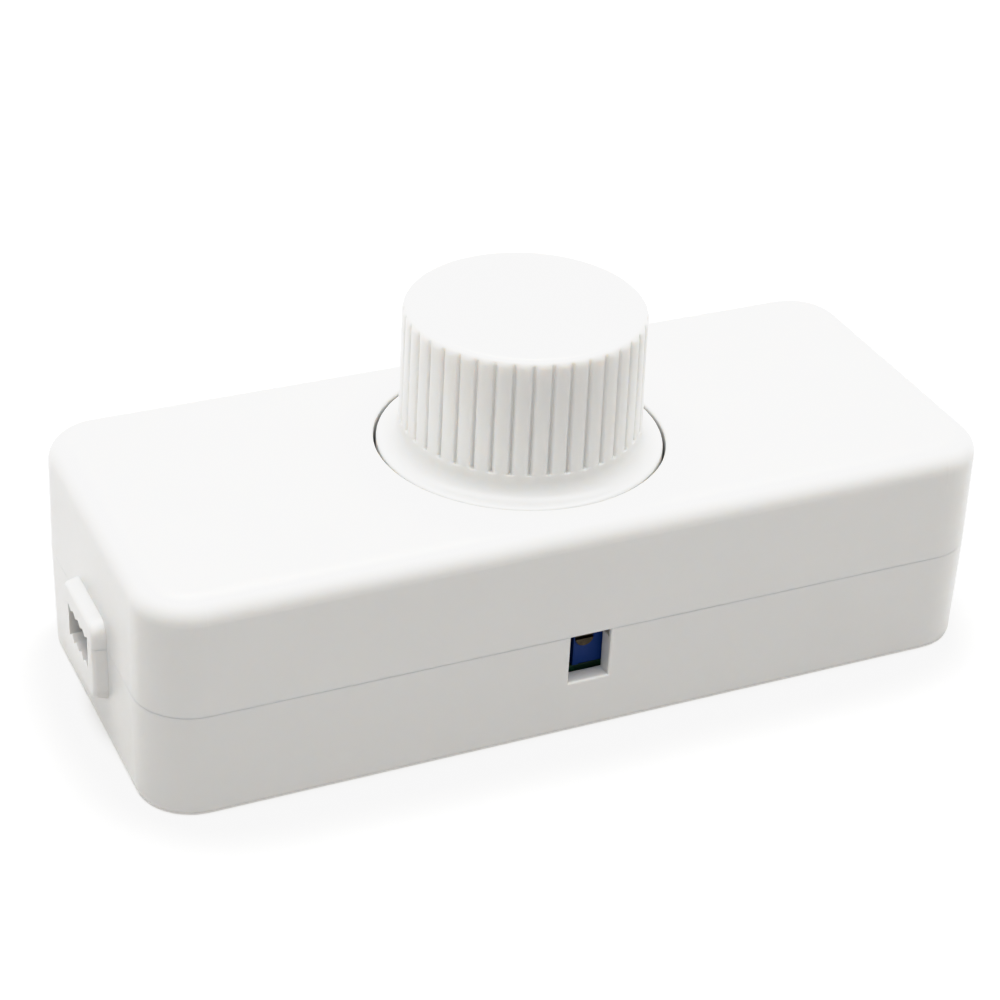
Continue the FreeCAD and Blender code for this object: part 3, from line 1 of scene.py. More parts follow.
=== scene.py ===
"""Looks for the inline rotary dimmer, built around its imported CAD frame. Lengths are in metres."""

import json
import math

import bpy
from mathutils import Matrix, Vector


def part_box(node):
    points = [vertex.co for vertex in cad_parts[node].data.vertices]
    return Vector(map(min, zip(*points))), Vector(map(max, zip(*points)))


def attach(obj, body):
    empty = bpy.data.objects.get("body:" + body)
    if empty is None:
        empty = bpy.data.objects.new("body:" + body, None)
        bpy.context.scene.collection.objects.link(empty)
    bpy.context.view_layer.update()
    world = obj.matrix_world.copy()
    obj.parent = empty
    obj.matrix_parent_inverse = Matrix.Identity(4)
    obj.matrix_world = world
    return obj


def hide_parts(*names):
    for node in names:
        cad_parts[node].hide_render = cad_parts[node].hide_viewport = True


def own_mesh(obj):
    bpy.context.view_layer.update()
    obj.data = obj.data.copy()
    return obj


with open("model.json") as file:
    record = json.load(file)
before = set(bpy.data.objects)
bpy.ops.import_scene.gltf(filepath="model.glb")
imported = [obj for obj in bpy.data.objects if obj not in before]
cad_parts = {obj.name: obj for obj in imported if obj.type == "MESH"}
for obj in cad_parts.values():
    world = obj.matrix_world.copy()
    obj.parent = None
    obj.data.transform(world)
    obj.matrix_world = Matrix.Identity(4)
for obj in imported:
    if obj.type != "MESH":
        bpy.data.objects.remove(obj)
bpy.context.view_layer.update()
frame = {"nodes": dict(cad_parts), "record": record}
nodes = frame["nodes"]
scene = bpy.context.scene

MM = 0.001


# ---------------------------------------------------------------- camera

VIEW_AZIMUTH = math.radians(25.33)
VIEW_ELEVATION = math.radians(31.22)
VIEW_ROLL = math.radians(2.72)
VIEW_PLACE = Vector((-0.112006, -0.232331, 0.173703))
LENS_MM = 95.147
SENSOR_MM = 36.0
NEAREST_SEEN = 10 * MM


def add_camera():
    """A camera turned about the vertical, tipped down, and rolled a little."""
    back = Vector((
        -math.sin(VIEW_AZIMUTH) * math.cos(VIEW_ELEVATION),
        -math.cos(VIEW_AZIMUTH) * math.cos(VIEW_ELEVATION),
        math.sin(VIEW_ELEVATION),
    ))
    level_right = Vector((0, 0, 1)).cross(back).normalized()
    level_up = back.cross(level_right)
    right = math.cos(VIEW_ROLL) * level_right + math.sin(VIEW_ROLL) * level_up
    up = back.cross(right)
    turn = Matrix((right, up, back)).transposed().to_4x4()
    data = bpy.data.cameras.new("camera")
    data.lens = LENS_MM
    data.sensor_width = SENSOR_MM
    data.clip_start = NEAREST_SEEN
    camera = bpy.data.objects.new("camera", data)
    camera.matrix_world = Matrix.Translation(VIEW_PLACE) @ turn
    scene.collection.objects.link(camera)
    scene.camera = camera


# ---------------------------------------------------------------- light and floor

ROOM_ABOVE = (0.515, 0.515, 0.515)
ROOM_BELOW = (0.415, 0.4, 0.38)
HORIZON_BAND = (0.47, 0.53)
SOFTBOX_SPREAD = math.radians(56)
SOFTBOX_FROM = Vector((0.05, 0.13, 1.0))
SOFTBOX_STRENGTH = 2.1
FLOOR_HALF = 6.0
WHITE_LEVEL = 1.05
COMBINED_CURVE = 3
RESPONSE = [(0.25, 0.3), (0.43, 0.55), (0.6, 0.82), (0.75, 0.92), (0.95, 0.945)]


def add_light():
    """A pale room, a little dimmer and warmer below, and one broad soft source overhead."""
    world = bpy.data.worlds.new("studio")
    scene.world = world
    world.use_nodes = True
    tree = world.node_tree
    direction = tree.nodes.new("ShaderNodeTexCoord")
    parts = tree.nodes.new("ShaderNodeSeparateXYZ")
    height = tree.nodes.new("ShaderNodeMapRange")
    height.inputs["From Min"].default_value = -1
    shade_by_height = tree.nodes.new("ShaderNodeValToRGB")
    for element, place, colour in zip(
            shade_by_height.color_ramp.elements, HORIZON_BAND, (ROOM_BELOW, ROOM_ABOVE)):
        element.position = place
        element.color = (*colour, 1)
    tree.links.new(direction.outputs["Generated"], parts.inputs["Vector"])
    tree.links.new(parts.outputs["Z"], height.inputs["Value"])
    tree.links.new(height.outputs["Result"], shade_by_height.inputs["Fac"])
    tree.links.new(shade_by_height.outputs["Color"], tree.nodes["Background"].inputs["Color"])
    data = bpy.data.lights.new("softbox", "SUN")
    data.energy = SOFTBOX_STRENGTH
    data.angle = SOFTBOX_SPREAD
    softbox = bpy.data.objects.new("softbox", data)
    softbox.matrix_world = SOFTBOX_FROM.to_track_quat("Z", "Y").to_matrix().to_4x4()
    scene.collection.objects.link(softbox)


def add_exposure():
    """A print-like response: bright faces gather just under white, shaded ones keep their depth.

    Each pair in RESPONSE is a linear light level and the level that it's shown at.
    """
    settings = scene.view_settings
    settings.view_transform = "Standard"
    settings.use_curve_mapping = True
    response = settings.curve_mapping
    response.white_level = (WHITE_LEVEL, WHITE_LEVEL, WHITE_LEVEL)
    curve = response.curves[COMBINED_CURVE]
    curve.points[0].location = (0, 0)
    curve.points[1].location = (1, 1)
    for light, shown in RESPONSE:
        curve.points.new(light / WHITE_LEVEL, shown)
    response.update()


def add_floor():
    """A wide sheet at height 0. Diffuse rays don't see it, so no light bounces up from it."""
    mesh = bpy.data.meshes.new("floor")
    corners = [(-1, -1), (1, -1), (1, 1), (-1, 1)]
    mesh.from_pydata([(x * FLOOR_HALF, y * FLOOR_HALF, 0) for x, y in corners], [], [(0, 1, 2, 3)])
    mesh.materials.append(floor_paper())
    floor = bpy.data.objects.new("floor", mesh)
    floor.visible_diffuse = False
    scene.collection.objects.link(floor)


# ---------------------------------------------------------------- material helpers

# Most of a noise lies between these values.
NOISE_LOW, NOISE_HIGH = 0.3, 0.7


class Nodes:
    """A material's node tree, with short ways to add and link nodes."""

    def __init__(self, name):
        self.material = bpy.data.materials.new(name)
        self.material.use_nodes = True
        self.tree = self.material.node_tree
        self.shader = self.tree.nodes["Principled BSDF"]
        place = self.tree.nodes.new("ShaderNodeTexCoord")
        self.place = place.outputs["Object"]

    def set(self, **values):
        """Set the shader's own sockets: words joined by _ stand for the socket's name."""
        for name, value in values.items():
            self.shader.inputs[name.replace("_", " ")].default_value = value

    def link(self, source, name):
        self.tree.links.new(source, self.shader.inputs[name])

    def stretched(self, scale):
        """The object's coordinates, scaled by axis."""
        node = self.tree.nodes.new("ShaderNodeMapping")
        node.inputs["Scale"].default_value = scale
        self.tree.links.new(self.place, node.inputs["Vector"])
        return node.outputs["Vector"]

    def noise(self, size, detail=2.0, roughness=0.5, stretch=None):
        """Soft noise whose lumps are about size across."""
        node = self.tree.nodes.new("ShaderNodeTexNoise")
        node.inputs["Scale"].default_value = 1 / size
        node.inputs["Detail"].default_value = detail
        node.inputs["Roughness"].default_value = roughness
        source = self.stretched(stretch) if stretch else self.place
        self.tree.links.new(source, node.inputs["Vector"])
        return node.outputs["Fac"]

    def cells(self, size):
        node = self.tree.nodes.new("ShaderNodeTexVoronoi")
        node.inputs["Scale"].default_value = 1 / size
        self.tree.links.new(self.place, node.inputs["Vector"])
        return node.outputs["Distance"]

    def along(self, axis):
        """The place along one axis, in metres."""
        node = self.tree.nodes.new("ShaderNodeSeparateXYZ")
        self.tree.links.new(self.place, node.inputs["Vector"])
        return node.outputs[axis]

    def math(self, operation, first, second=0.0):
        node = self.tree.nodes.new("ShaderNodeMath")
        node.operation = operation
        for socket, value in zip(node.inputs, (first, second)):
            if isinstance(value, (int, float)):
                socket.default_value = value
            else:
                self.tree.links.new(value, socket)
        return node.outputs["Value"]

    def spread(self, source, low, high, from_low=NOISE_LOW, from_high=NOISE_HIGH):
        """A source's values, moved to lie between low and high."""
        node = self.tree.nodes.new("ShaderNodeMapRange")
        node.inputs["From Min"].default_value = from_low
        node.inputs["From Max"].default_value = from_high
        node.inputs["To Min"].default_value = low
        node.inputs["To Max"].default_value = high
        self.tree.links.new(source, node.inputs["Value"])
        return node.outputs["Result"]

    def ramp(self, source, stops, steps=False):
        """Colours along a source from 0 to 1, blended, or in steps as painted bands."""
        node = self.tree.nodes.new("ShaderNodeValToRGB")
        node.color_ramp.interpolation = "CONSTANT" if steps else "LINEAR"
        elements = node.color_ramp.elements
        while len(elements) < len(stops):
            elements.new(0.5)
        for element, (place, colour) in zip(elements, stops):
            element.position = place
            element.color = (*colour, 1)
        self.tree.links.new(source, node.inputs["Fac"])
        return node.outputs["Color"]

    def tones(self, noise, dark, light):
        """Colour the surface between two tones."""
        self.link(self.ramp(noise, [(NOISE_LOW, dark), (NOISE_HIGH, light)]), "Base Color")

    def gloss(self, noise, smooth, rough):
        """Vary the roughness between two values."""
        self.link(self.spread(noise, smooth, rough), "Roughness")

    def bump(self, height, depth, strength=1.0):
        node = self.tree.nodes.new("ShaderNodeBump")
        node.inputs["Distance"].default_value = depth
        node.inputs["Strength"].default_value = strength
        self.tree.links.new(height, node.inputs["Height"])
        self.link(node.outputs["Normal"], "Normal")


def shade(colour, factor):
    return tuple(min(1.0, channel * factor) for channel in colour)


FLOW_MARKS = 9 * MM
GLOSS_PATCHES = 1.2 * MM
GLOSS_DRIFT = 0.04


def moulded(name, colour, roughness, depth, grain=0.12 * MM, drift=0.03, **extra):
    """A moulded plastic: faint flow marks in its colour and gloss, over a fine eroded grain."""
    made = Nodes(name)
    made.tones(made.noise(FLOW_MARKS, detail=3), shade(colour, 1 - drift), shade(colour, 1 + drift))
    patches = made.noise(GLOSS_PATCHES, detail=4)
    made.gloss(patches, roughness - GLOSS_DRIFT, roughness + GLOSS_DRIFT)
    made.bump(made.noise(grain), depth)
    made.set(**extra)
    return made.material


def white_plastic(name, colour, roughness, grain, scatter):
    """A white moulding, which light sinks into by about scatter."""
    return moulded(name, colour, roughness, depth=0.002 * MM, grain=grain, drift=0.006,
                   Subsurface_Weight=1.0, Subsurface_Radius=(1.0, 0.9, 0.8),
                   Subsurface_Scale=scatter, IOR=1.53)


TARNISH_PATCHES = 2.5 * MM
STREAK_WIDTH = 0.12 * MM
STREAK_DEPTH = 0.001 * MM


def metal(name, colour, roughness, stretch, tarnish=0.12):
    """A metal with streaks along the long way of its stretch, and a blotchy tarnish."""
    made = Nodes(name)
    blotches = made.noise(TARNISH_PATCHES, detail=5, roughness=0.6)
    made.tones(blotches, shade(colour, 1 - tarnish), colour)
    streaks = made.noise(STREAK_WIDTH, detail=3, stretch=stretch)
    made.gloss(streaks, roughness - 0.07, roughness + 0.1)
    made.bump(streaks, STREAK_DEPTH)
    made.set(Metallic=1.0)
    return made.material


# ---------------------------------------------------------------- materials

ABS_WHITE = (0.83, 0.828, 0.815)
KNOB_WHITE = (0.8, 0.796, 0.782)
BRASS_RING_PITCH = 0.09 * MM
TRACK_PITCH = 18 * MM


def floor_paper():
    made = Nodes("floor_paper")
    made.tones(made.noise(2 * MM, detail=4), (0.945, 0.945, 0.945), (0.955, 0.955, 0.955))
    made.set(Roughness=0.9, Emission_Color=(1, 1, 1, 1), Emission_Strength=0.1)
    return made.material


def turned_brass():
    """Brass with fine turning rings about the trimmer screw's axis, painted dark: painted shade of the
    slot it sits in, over random stains.
    """
    low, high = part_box("trimmer_screw")
    axis_x = (low.x + high.x) / 2
    axis_z = (low.z + high.z) / 2
    made = Nodes("turned_brass")
    across = made.math("SUBTRACT", made.along("X"), axis_x)
    upward = made.math("SUBTRACT", made.along("Z"), axis_z)
    squares = made.math("ADD", made.math("MULTIPLY", across, across),
                        made.math("MULTIPLY", upward, upward))
    distance = made.math("POWER", squares, 0.5)
    rings = made.math("SINE", made.math("MULTIPLY", distance, 2 * math.pi / BRASS_RING_PITCH))
    stains_and_shade = made.noise(0.7 * MM, detail=5, roughness=0.65)
    # Both tones are painted far darker than brass: painted shade of the slot, varied by real random
    # stains.
    made.tones(stains_and_shade, (0.02, 0.016, 0.011), (0.075, 0.058, 0.036))
    made.gloss(stains_and_shade, 0.32, 0.5)
    made.bump(rings, 0.002 * MM)
    made.set(Metallic=1.0)
    return made.material


def solder_mask():
    """Green lacquer over copper tracks, which show as slightly raised paler lanes."""
    made = Nodes("board_green")
    wave = made.tree.nodes.new("ShaderNodeTexWave")
    wave.wave_type = "BANDS"
    wave.bands_direction = "DIAGONAL"
    wave.inputs["Scale"].default_value = 1 / TRACK_PITCH
    wave.inputs["Distortion"].default_value = 9.0
    wave.inputs["Detail"].default_value = 0.0
    made.tree.links.new(made.place, wave.inputs["Vector"])
    lanes = wave.outputs["Fac"]
    # The mask's own dark green, painted darker still: painted shade of the slot the board is seen
    # through.
    made.link(made.ramp(lanes, [(0.45, (0.004, 0.02, 0.011)), (0.52, (0.008, 0.038, 0.02))]),
              "Base Color")
    made.gloss(made.noise(0.8 * MM), 0.28, 0.4)
    made.bump(lanes, 0.03 * MM, strength=0.5)
    made.set(Specular_IOR_Level=0.2)
    return made.material


def laminate():
    """Brown phenolic paper laminate, with fibres along X."""
    made = Nodes("phenolic")
    fibres = made.noise(0.3 * MM, detail=6, roughness=0.7, stretch=(0.2, 1, 1))
    made.tones(fibres, (0.1, 0.045, 0.018), (0.22, 0.11, 0.05))
    made.gloss(fibres, 0.4, 0.55)
    made.bump(fibres, 0.01 * MM)
    return made.material


def sintered():
    """Ferrite: dark grey, with pits and sparkling grains."""
    made = Nodes("ferrite")
    grains = made.cells(0.25 * MM)
    made.link(made.ramp(grains, [(0.0, (0.05, 0.05, 0.055)), (0.5, (0.015, 0.015, 0.017))]),
              "Base Color")
    made.link(made.spread(grains, 0.45, 0.7, 0.0, 0.6), "Roughness")
    made.bump(grains, 0.015 * MM)
    return made.material


def enamelled_copper():
    made = Nodes("copper")
    lacquer = made.noise(1.5 * MM, detail=3)
    made.tones(lacquer, (0.36, 0.1, 0.035), (0.6, 0.22, 0.09))
    made.gloss(lacquer, 0.2, 0.32)
    made.bump(made.noise(0.3 * MM), 0.004 * MM)
    made.set(Metallic=1.0, Coat_Weight=0.8, Coat_Roughness=0.1)
    return made.material


def clear_glass():
    made = Nodes("clear_glass")
    haze = made.noise(3 * MM, detail=3)
    made.tones(haze, (0.93, 0.97, 0.96), (0.98, 1.0, 0.99))
    made.gloss(haze, 0.02, 0.06)
    made.bump(made.noise(4 * MM), 0.01 * MM)
    made.set(Transmission_Weight=1.0, IOR=1.5)
    return made.material


def share_along(made, axis, node):
    """How far along a CAD node's length a point lies, from 0 to 1."""
    low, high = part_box(node)
    index = "XYZ".index(axis)
    start = made.math("SUBTRACT", made.along(axis), low[index])
    return made.math("DIVIDE", start, high[index] - low[index])


def banded(name, node, axis, body, bands, roughness):
    """A lacquered body with painted rings: bands are (start, end, colour) shares of its length."""
    made = Nodes(name)
    stops = [(0.0, body)]
    for start, end, colour in bands:
        stops += [(start, colour), (end, body)]
    made.link(made.ramp(share_along(made, axis, node), stops, steps=True), "Base Color")
    made.gloss(made.noise(0.6 * MM, detail=3), roughness - 0.05, roughness + 0.05)
    made.bump(made.noise(1.2 * MM), 0.02 * MM)
    made.set(Coat_Weight=0.5, Coat_Roughness=0.1)
    return made.material


def resistor_lacquer():
    brown, black = (0.1, 0.03, 0.01), (0.01, 0.01, 0.01)
    red, gold = (0.4, 0.02, 0.01), (0.45, 0.3, 0.08)
    bands = [(0.14, 0.22, brown), (0.3, 0.38, black), (0.46, 0.54, red), (0.76, 0.84, gold)]
    return banded("resistor_tan", "resistors", "Y", (0.5, 0.36, 0.22), bands, 0.35)


def diac_lacquer():
    bands = [(0.42, 0.58, (0.02, 0.02, 0.03))]
    return banded("diac_blue", "diac", "Y", (0.03, 0.1, 0.32), bands, 0.3)


STRIPE_START = 0.86
TOP_SHEET = 0.05 * MM


def can_sleeve():
    """A shrunk sleeve with one pale stripe down its side, and a bare metal top."""
    low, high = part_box("electrolytic_capacitor")
    made = Nodes("capacitor_black")
    across = share_along(made, "X", "electrolytic_capacitor")
    stripe = [(0.0, (0.01, 0.013, 0.03)), (STRIPE_START, (0.35, 0.36, 0.38))]
    sleeve = made.ramp(across, stripe, steps=True)
    upward = share_along(made, "Z", "electrolytic_capacitor")
    top = made.math("GREATER_THAN", upward, 1 - TOP_SHEET / (high.z - low.z))
    mix = made.tree.nodes.new("ShaderNodeMix")
    mix.data_type = "RGBA"
    made.tree.links.new(top, mix.inputs["Factor"])
    made.tree.links.new(sleeve, mix.inputs["A"])
    mix.inputs["B"].default_value = (0.45, 0.46, 0.47, 1)
    made.link(mix.outputs["Result"], "Base Color")
    made.gloss(made.noise(1.5 * MM), 0.25, 0.38)
    made.bump(made.noise(2 * MM), 0.02 * MM)
    return made.material


MATERIALS = {
    "case_plastic": white_plastic("case_plastic", ABS_WHITE, 0.36, 0.16 * MM, scatter=0.35 * MM),
    "knob_plastic": white_plastic("knob_plastic", KNOB_WHITE, 0.34, 0.14 * MM, scatter=1.5 * MM),
    # Its own deep blue, painted darker still: painted shade of the slot the trimmer is seen through.
    "trimmer_blue": moulded("trimmer_blue", (0.003, 0.03, 0.17), 0.45, depth=0.004 * MM, drift=0.08,
                            Specular_IOR_Level=0.15),
    "brass": turned_brass(),
    "zinc_steel": metal("zinc_steel", (0.6, 0.63, 0.68), 0.3, stretch=(1, 0.15, 1)),
    "spring_steel": metal("spring_steel", (0.42, 0.43, 0.46), 0.25, stretch=(0.2, 1, 1)),
    "nickel": metal("nickel", (0.66, 0.62, 0.56), 0.2, stretch=(0.2, 1, 1), tarnish=0.08),
    "tinned_wire": metal("tinned_wire", (0.68, 0.68, 0.7), 0.3, stretch=(1, 1, 0.3)),
    "copper": enamelled_copper(),
    "board_green": solder_mask(),
    "terminal_grey": moulded("terminal_grey", (0.26, 0.28, 0.31), 0.5, depth=0.006 * MM),
    "black_plastic": moulded("black_plastic", (0.018, 0.018, 0.02), 0.48, depth=0.008 * MM,
                             drift=0.1),
    "phenolic": laminate(),
    "carbon": moulded("carbon", (0.012, 0.012, 0.013), 0.6, depth=0.004 * MM, grain=0.05 * MM,
                      drift=0.2),
    "white_polymer": moulded("white_polymer", (0.72, 0.71, 0.67), 0.4, depth=0.003 * MM, drift=0.02),
    "clear_glass": clear_glass(),
    "aluminium": metal("aluminium", (0.72, 0.73, 0.75), 0.32, stretch=(0.1, 1, 1), tarnish=0.06),
    "ferrite": sintered(),
    "capacitor_yellow": moulded("capacitor_yellow", (0.62, 0.4, 0.03), 0.42, depth=0.004 * MM),
    "capacitor_red": moulded("capacitor_red", (0.26, 0.02, 0.01), 0.22, depth=0.03 * MM,
                             grain=0.9 * MM, drift=0.12, Coat_Weight=0.6),
    "capacitor_black": can_sleeve(),
    "resistor_tan": resistor_lacquer(),
    "diac_blue": diac_lacquer(),
}


# ---------------------------------------------------------------- mesh helpers

def new_piece(name, vertices, faces, slot, body):
    """A closed, smooth mesh that takes a slot's material and moves with a CAD body."""
    mesh = bpy.data.meshes.new(name)
    mesh.from_pydata(vertices, [], faces)
    mesh.validate()
    mesh.polygons.foreach_set("use_smooth", [True] * len(mesh.polygons))
    mesh.materials.append(MATERIALS[slot])
    piece = bpy.data.objects.new(name, mesh)
    scene.collection.objects.link(piece)
    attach(piece, body)
    return piece


def arc(centre_r, centre_z, radius, start, end, steps):
    """Points along an arc in the plane of radius and height. Its angles are in degrees."""
    points = []
    for step in range(steps + 1):
        angle = math.radians(start + (end - start) * step / steps)
        points.append((centre_r + radius * math.cos(angle), centre_z + radius * math.sin(angle)))
    return points


def smooth_step(value, low, high):
    share = min(1.0, max(0.0, (value - low) / (high - low)))
    return share * share * (3 - 2 * share)


# ---------------------------------------------------------------- knob

knob_low, knob_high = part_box("knob")
KNOB_TOP = knob_high.z
SKIRT_BOTTOM = knob_low.z
FLANGE_RADIUS = knob_high.x
FLANGE_HEIGHT = 2.15 * MM
FLANGE_TOP = SKIRT_BOTTOM + FLANGE_HEIGHT
FLANGE_EDGE = 0.5 * MM
FLARE = 1.9 * MM
GRIP_TOP_RADIUS = 13.5 * MM
GRIP_BOTTOM_RADIUS = 13.7 * MM
TOP_EDGE = 1.1 * MM
TOP_CROWN = 0.06 * MM
TOP_RINGS = (0.25, 0.5, 0.75, 0.9)
GRIP_RINGS = tuple(level * MM for level in (39, 36, 33, 31, 30, 29.4, 29.1))
FLUTES = 40
FLUTE_TURN = math.radians(-2.25)
FLUTE_FLOOR_RADIUS = 13.28 * MM
FLUTE_HALF_WIDTH = 0.17 * MM
FLUTE_END = 28.7 * MM
FLUTE_LEDGE = 0.22 * MM
LEDGE_RINGS = (1.15, 1, 0.8, 0.6, 0.4, 0.2, 0, -0.2)
GROOVE_POWER = 4
RIB_CROWN = 0.16 * MM
SMALL_EDGE = 0.15 * MM
CAVITY_EDGE = 2 * SMALL_EDGE
CAVITY_RADIUS = 11.7 * MM
CAVITY_MOUTH_RADIUS = 12.0 * MM
TOP_THICKNESS = 2.0 * MM
CAVITY_TOP = KNOB_TOP - TOP_THICKNESS
HUB_RADIUS = 4.8 * MM
HUB_BOTTOM = 25.6 * MM
BORE_RADIUS = 3.02 * MM
BORE_FLAT = 1.85 * MM
BORE_TOP = 38.3 * MM
WEB_COUNT = 6
WEB_THICKNESS = 1.2 * MM
WEB_BOTTOM = 30.0 * MM
WEB_BITE = 0.4 * MM
# Columns of points beside each flute, in millimetres from its middle. The last is the middle of the rib.
COLUMN_OFFSETS = (
    -0.85, -0.62, -0.45, -0.32, -0.22, -0.12, 0, 0.12, 0.22, 0.32, 0.45, 0.62, 0.85, 1.06,
)
FILLET_STEPS, RIM_STEPS, CAVITY_STEPS, SMALL_STEPS = 14, 8, 4, 3


def top_section():
    """The slightly crowned top face and its rounded edge."""
    flat_radius = GRIP_TOP_RADIUS - TOP_EDGE
    face = [(flat_radius * share, KNOB_TOP - TOP_CROWN * share * share) for share in TOP_RINGS]
    return face + arc(flat_radius, KNOB_TOP - TOP_CROWN - TOP_EDGE, TOP_EDGE, 90, 0, FILLET_STEPS)


def grip_section():
    """The tapering grip, with its rings closer together where the flutes run out."""
    grip_top = KNOB_TOP - TOP_CROWN - TOP_EDGE
    grip_bottom = FLANGE_TOP + FLARE
    levels = list(GRIP_RINGS) + [FLUTE_END + FLUTE_LEDGE * share for share in LEDGE_RINGS]
    points = []
    for level in levels:
        share = (level - grip_bottom) / (grip_top - grip_bottom)
        points.append((GRIP_BOTTOM_RADIUS + (GRIP_TOP_RADIUS - GRIP_BOTTOM_RADIUS) * share, level))
    return points


def flange_section():
    """The flared foot and the flange, down to the mouth of the hollow underside."""
    foot = arc(GRIP_BOTTOM_RADIUS + FLARE, FLANGE_TOP + FLARE, FLARE, 180, 270, FILLET_STEPS)
    rim = arc(FLANGE_RADIUS - FLANGE_EDGE, FLANGE_TOP - FLANGE_EDGE, FLANGE_EDGE, 90, 0, RIM_STEPS)
    bottom = SKIRT_BOTTOM + SMALL_EDGE
    outer = arc(FLANGE_RADIUS - SMALL_EDGE, bottom, SMALL_EDGE, 0, -90, SMALL_STEPS)
    inner = arc(CAVITY_MOUTH_RADIUS + SMALL_EDGE, bottom, SMALL_EDGE, 270, 180, SMALL_STEPS)
    return foot + rim + outer + inner


def cavity_section():
    """The hollow underside, its hub and the bore for the shaft."""
    roof = CAVITY_TOP - CAVITY_EDGE
    wall = arc(CAVITY_RADIUS - CAVITY_EDGE, roof, CAVITY_EDGE, 0, 90, CAVITY_STEPS)
    root = arc(HUB_RADIUS + CAVITY_EDGE, roof, CAVITY_EDGE, 90, 180, CAVITY_STEPS)
    tip = arc(HUB_RADIUS - SMALL_EDGE, HUB_BOTTOM + SMALL_EDGE, SMALL_EDGE, 0, -90, SMALL_STEPS)
    bore = [(BORE_RADIUS, HUB_BOTTOM), (BORE_RADIUS, (HUB_BOTTOM + BORE_TOP) / 2)]
    bore += [(BORE_RADIUS, BORE_TOP), (BORE_RADIUS / 2, BORE_TOP)]
    return wall + root + tip + bore


def knob_columns():
    """Directions round the knob, closer together at each flute, with their groove and crown."""
    half_rib = math.pi * GRIP_TOP_RADIUS / FLUTES
    columns = []
    for flute in range(FLUTES):
        for offset in COLUMN_OFFSETS:
            away = min(offset * MM, half_rib)
            angle = FLUTE_TURN + 2 * math.pi * flute / FLUTES + away / GRIP_TOP_RADIUS
            groove = 1 / (1 + (away / FLUTE_HALF_WIDTH) ** GROOVE_POWER)
            crown = RIB_CROWN * (1 - abs(away) / half_rib) ** 2
            columns.append((angle, groove, crown))
    return columns


def knob_radius(radius, height, angle, groove, crown):
    """A section point's distance from the axis in one direction: flutes outside, a D bore inside."""
    if radius <= BORE_RADIUS and height < KNOB_TOP - TOP_EDGE:
        rise = math.sin(angle)
        if rise > 0:
            return min(radius, BORE_FLAT * (radius / BORE_RADIUS) / rise)
        return radius
    if height < FLUTE_END - FLUTE_LEDGE or radius < CAVITY_RADIUS + CAVITY_EDGE:
        return radius
    cut = smooth_step(height, FLUTE_END, FLUTE_END + FLUTE_LEDGE)
    depth = max(0.0, radius - FLUTE_FLOOR_RADIUS)
    fade = min(1.0, depth / (GRIP_TOP_RADIUS - FLUTE_FLOOR_RADIUS)) * cut
    return radius - groove * depth * cut - crown * fade


def knob_web(index):
    """One web between the hub and the wall: its eight corners and six faces."""
    angle = 2 * math.pi * index / WEB_COUNT
    ahead = Vector((math.cos(angle), math.sin(angle), 0))
    aside = Vector((-math.sin(angle), math.cos(angle), 0)) * WEB_THICKNESS / 2
    inner = ahead * (HUB_RADIUS - WEB_BITE)
    outer = ahead * (CAVITY_RADIUS + WEB_BITE)
    plan = [inner - aside, outer - aside, outer + aside, inner + aside]
    levels = (WEB_BOTTOM, CAVITY_TOP + WEB_BITE)
    corners = [point + Vector((0, 0, level)) for level in levels for point in plan]
    faces = [(3, 2, 1, 0), (4, 5, 6, 7)]
    faces += [(side, (side + 1) % 4, (side + 1) % 4 + 4, side + 4) for side in range(4)]
    return corners, faces


def add_knob():
    """The knob: a half section turned round its axis from the top's middle to the bore's end."""
    section = top_section() + grip_section() + flange_section() + cavity_section()
    columns = knob_columns()
    count = len(columns)
    vertices = [Vector((0, 0, KNOB_TOP))]
    for radius, height in section:
        for angle, groove, crown in columns:
            reach = knob_radius(radius, height, angle, groove, crown)
            vertices.append(Vector((reach * math.cos(angle), reach * math.sin(angle), height)))
    vertices.append(Vector((0, 0, BORE_TOP)))
    last = len(vertices) - 1
    faces = []
    for column in range(count):
        after = (column + 1) % count
        faces.append((0, 1 + column, 1 + after))
        for ring in range(len(section) - 1):
            upper = 1 + ring * count
            lower = upper + count
            faces.append((upper + column, lower + column, lower + after, upper + after))
        bottom = 1 + (len(section) - 1) * count
        faces.append((bottom + column, last, bottom + after))
    for index in range(WEB_COUNT):
        corners, sides = knob_web(index)
        start = len(vertices)
        vertices += corners
        faces += [tuple(start + corner for corner in side) for side in sides]
    knob = new_piece("fluted_knob", vertices, faces, "knob_plastic", "knob_assembly")
    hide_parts("knob")


# ---------------------------------------------------------------- carried-over CAD nodes

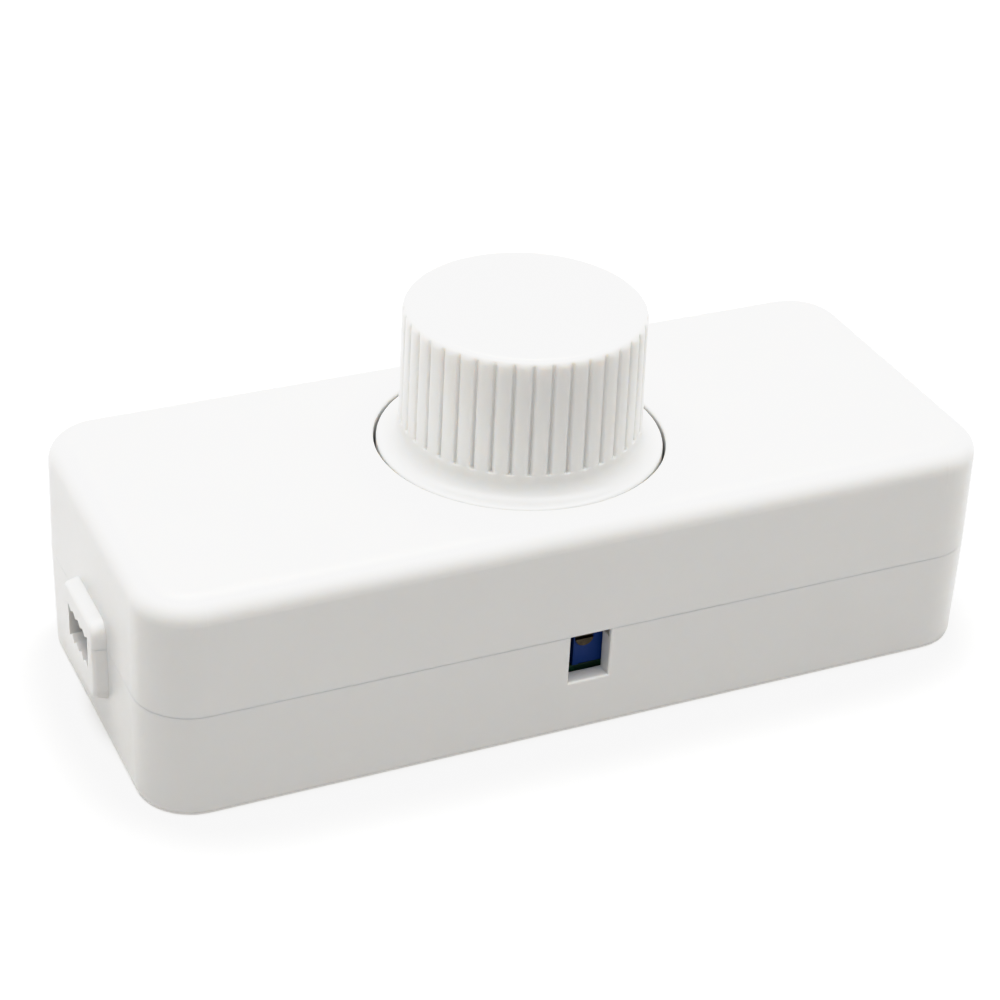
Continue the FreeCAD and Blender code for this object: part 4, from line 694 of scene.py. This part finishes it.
# How far each rounding reaches in from its edge, in millimetres.
SOFTENED = {
    "trimmer_body": 0.12, "trimmer_screw": 0.05, "input_terminal_block": 0.2,
    "output_terminal_block": 0.2, "triac_body": 0.15, "controller_chip": 0.12, "switch_base": 0.15,
    "switch_plunger": 0.15, "heat_sink": 0.12, "circuit_board": 0.08, "control_shaft": 0.15,
    "suppression_capacitor": 0.15, "timing_capacitor": 0.3, "electrolytic_capacitor": 0.3,
    "resistors": 0.3, "diac": 0.2, "pot_wafer": 0.1, "pot_cover": 0.12, "case_screws": 0.12,
    "board_screws": 0.1, "heat_sink_screw": 0.12, "heat_sink_nut": 0.15, "bushing_nut": 0.15,
    "bushing_washer": 0.08, "fuse_caps": 0.08, "trimmer_wheel": 0.08, "pot_wiper": 0.1,
}
SHARP_ANGLE = math.radians(32)
WELD_DISTANCE = 0.001 * MM
EDGE_SEGMENTS = 2
SLOT_OF = {subpart["node"]: subpart["material_slot"] for subpart in frame["record"]["subparts"]}


def soften_edges(node, width):
    """Round a CAD node's sharp edges as moulding, pressing or plating leaves them."""
    weld = node.modifiers.new("weld", "WELD")
    weld.merge_threshold = WELD_DISTANCE
    bevel = node.modifiers.new("bevel", "BEVEL")
    bevel.width = width
    bevel.segments = EDGE_SEGMENTS
    bevel.limit_method = "ANGLE"
    bevel.angle_limit = SHARP_ANGLE
    bevel.harden_normals = True
    bevel.use_clamp_overlap = True


def dress_nodes():
    """Give each CAD node its material, and soften the edges of those in SOFTENED."""
    for name, slot in SLOT_OF.items():
        node = nodes[name]
        node.data.materials.clear()
        node.data.materials.append(MATERIALS[slot])
    for name, width in SOFTENED.items():
        soften_edges(nodes[name], width * MM)


def add_spring():
    """The switch's return spring: a copy of the CAD one, which can't shorten with the knob, carried by
    the housing in its place.
    """
    node = nodes["switch_spring"]
    spring = bpy.data.objects.new("return_spring", node.data.copy())
    spring.matrix_world = node.matrix_world
    scene.collection.objects.link(spring)
    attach(spring, "housing")
    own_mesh(spring)
    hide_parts("switch_spring")


# ---------------------------------------------------------------- assembly

add_camera()
add_light()
add_exposure()
add_floor()
dress_nodes()
add_knob()
add_spring()
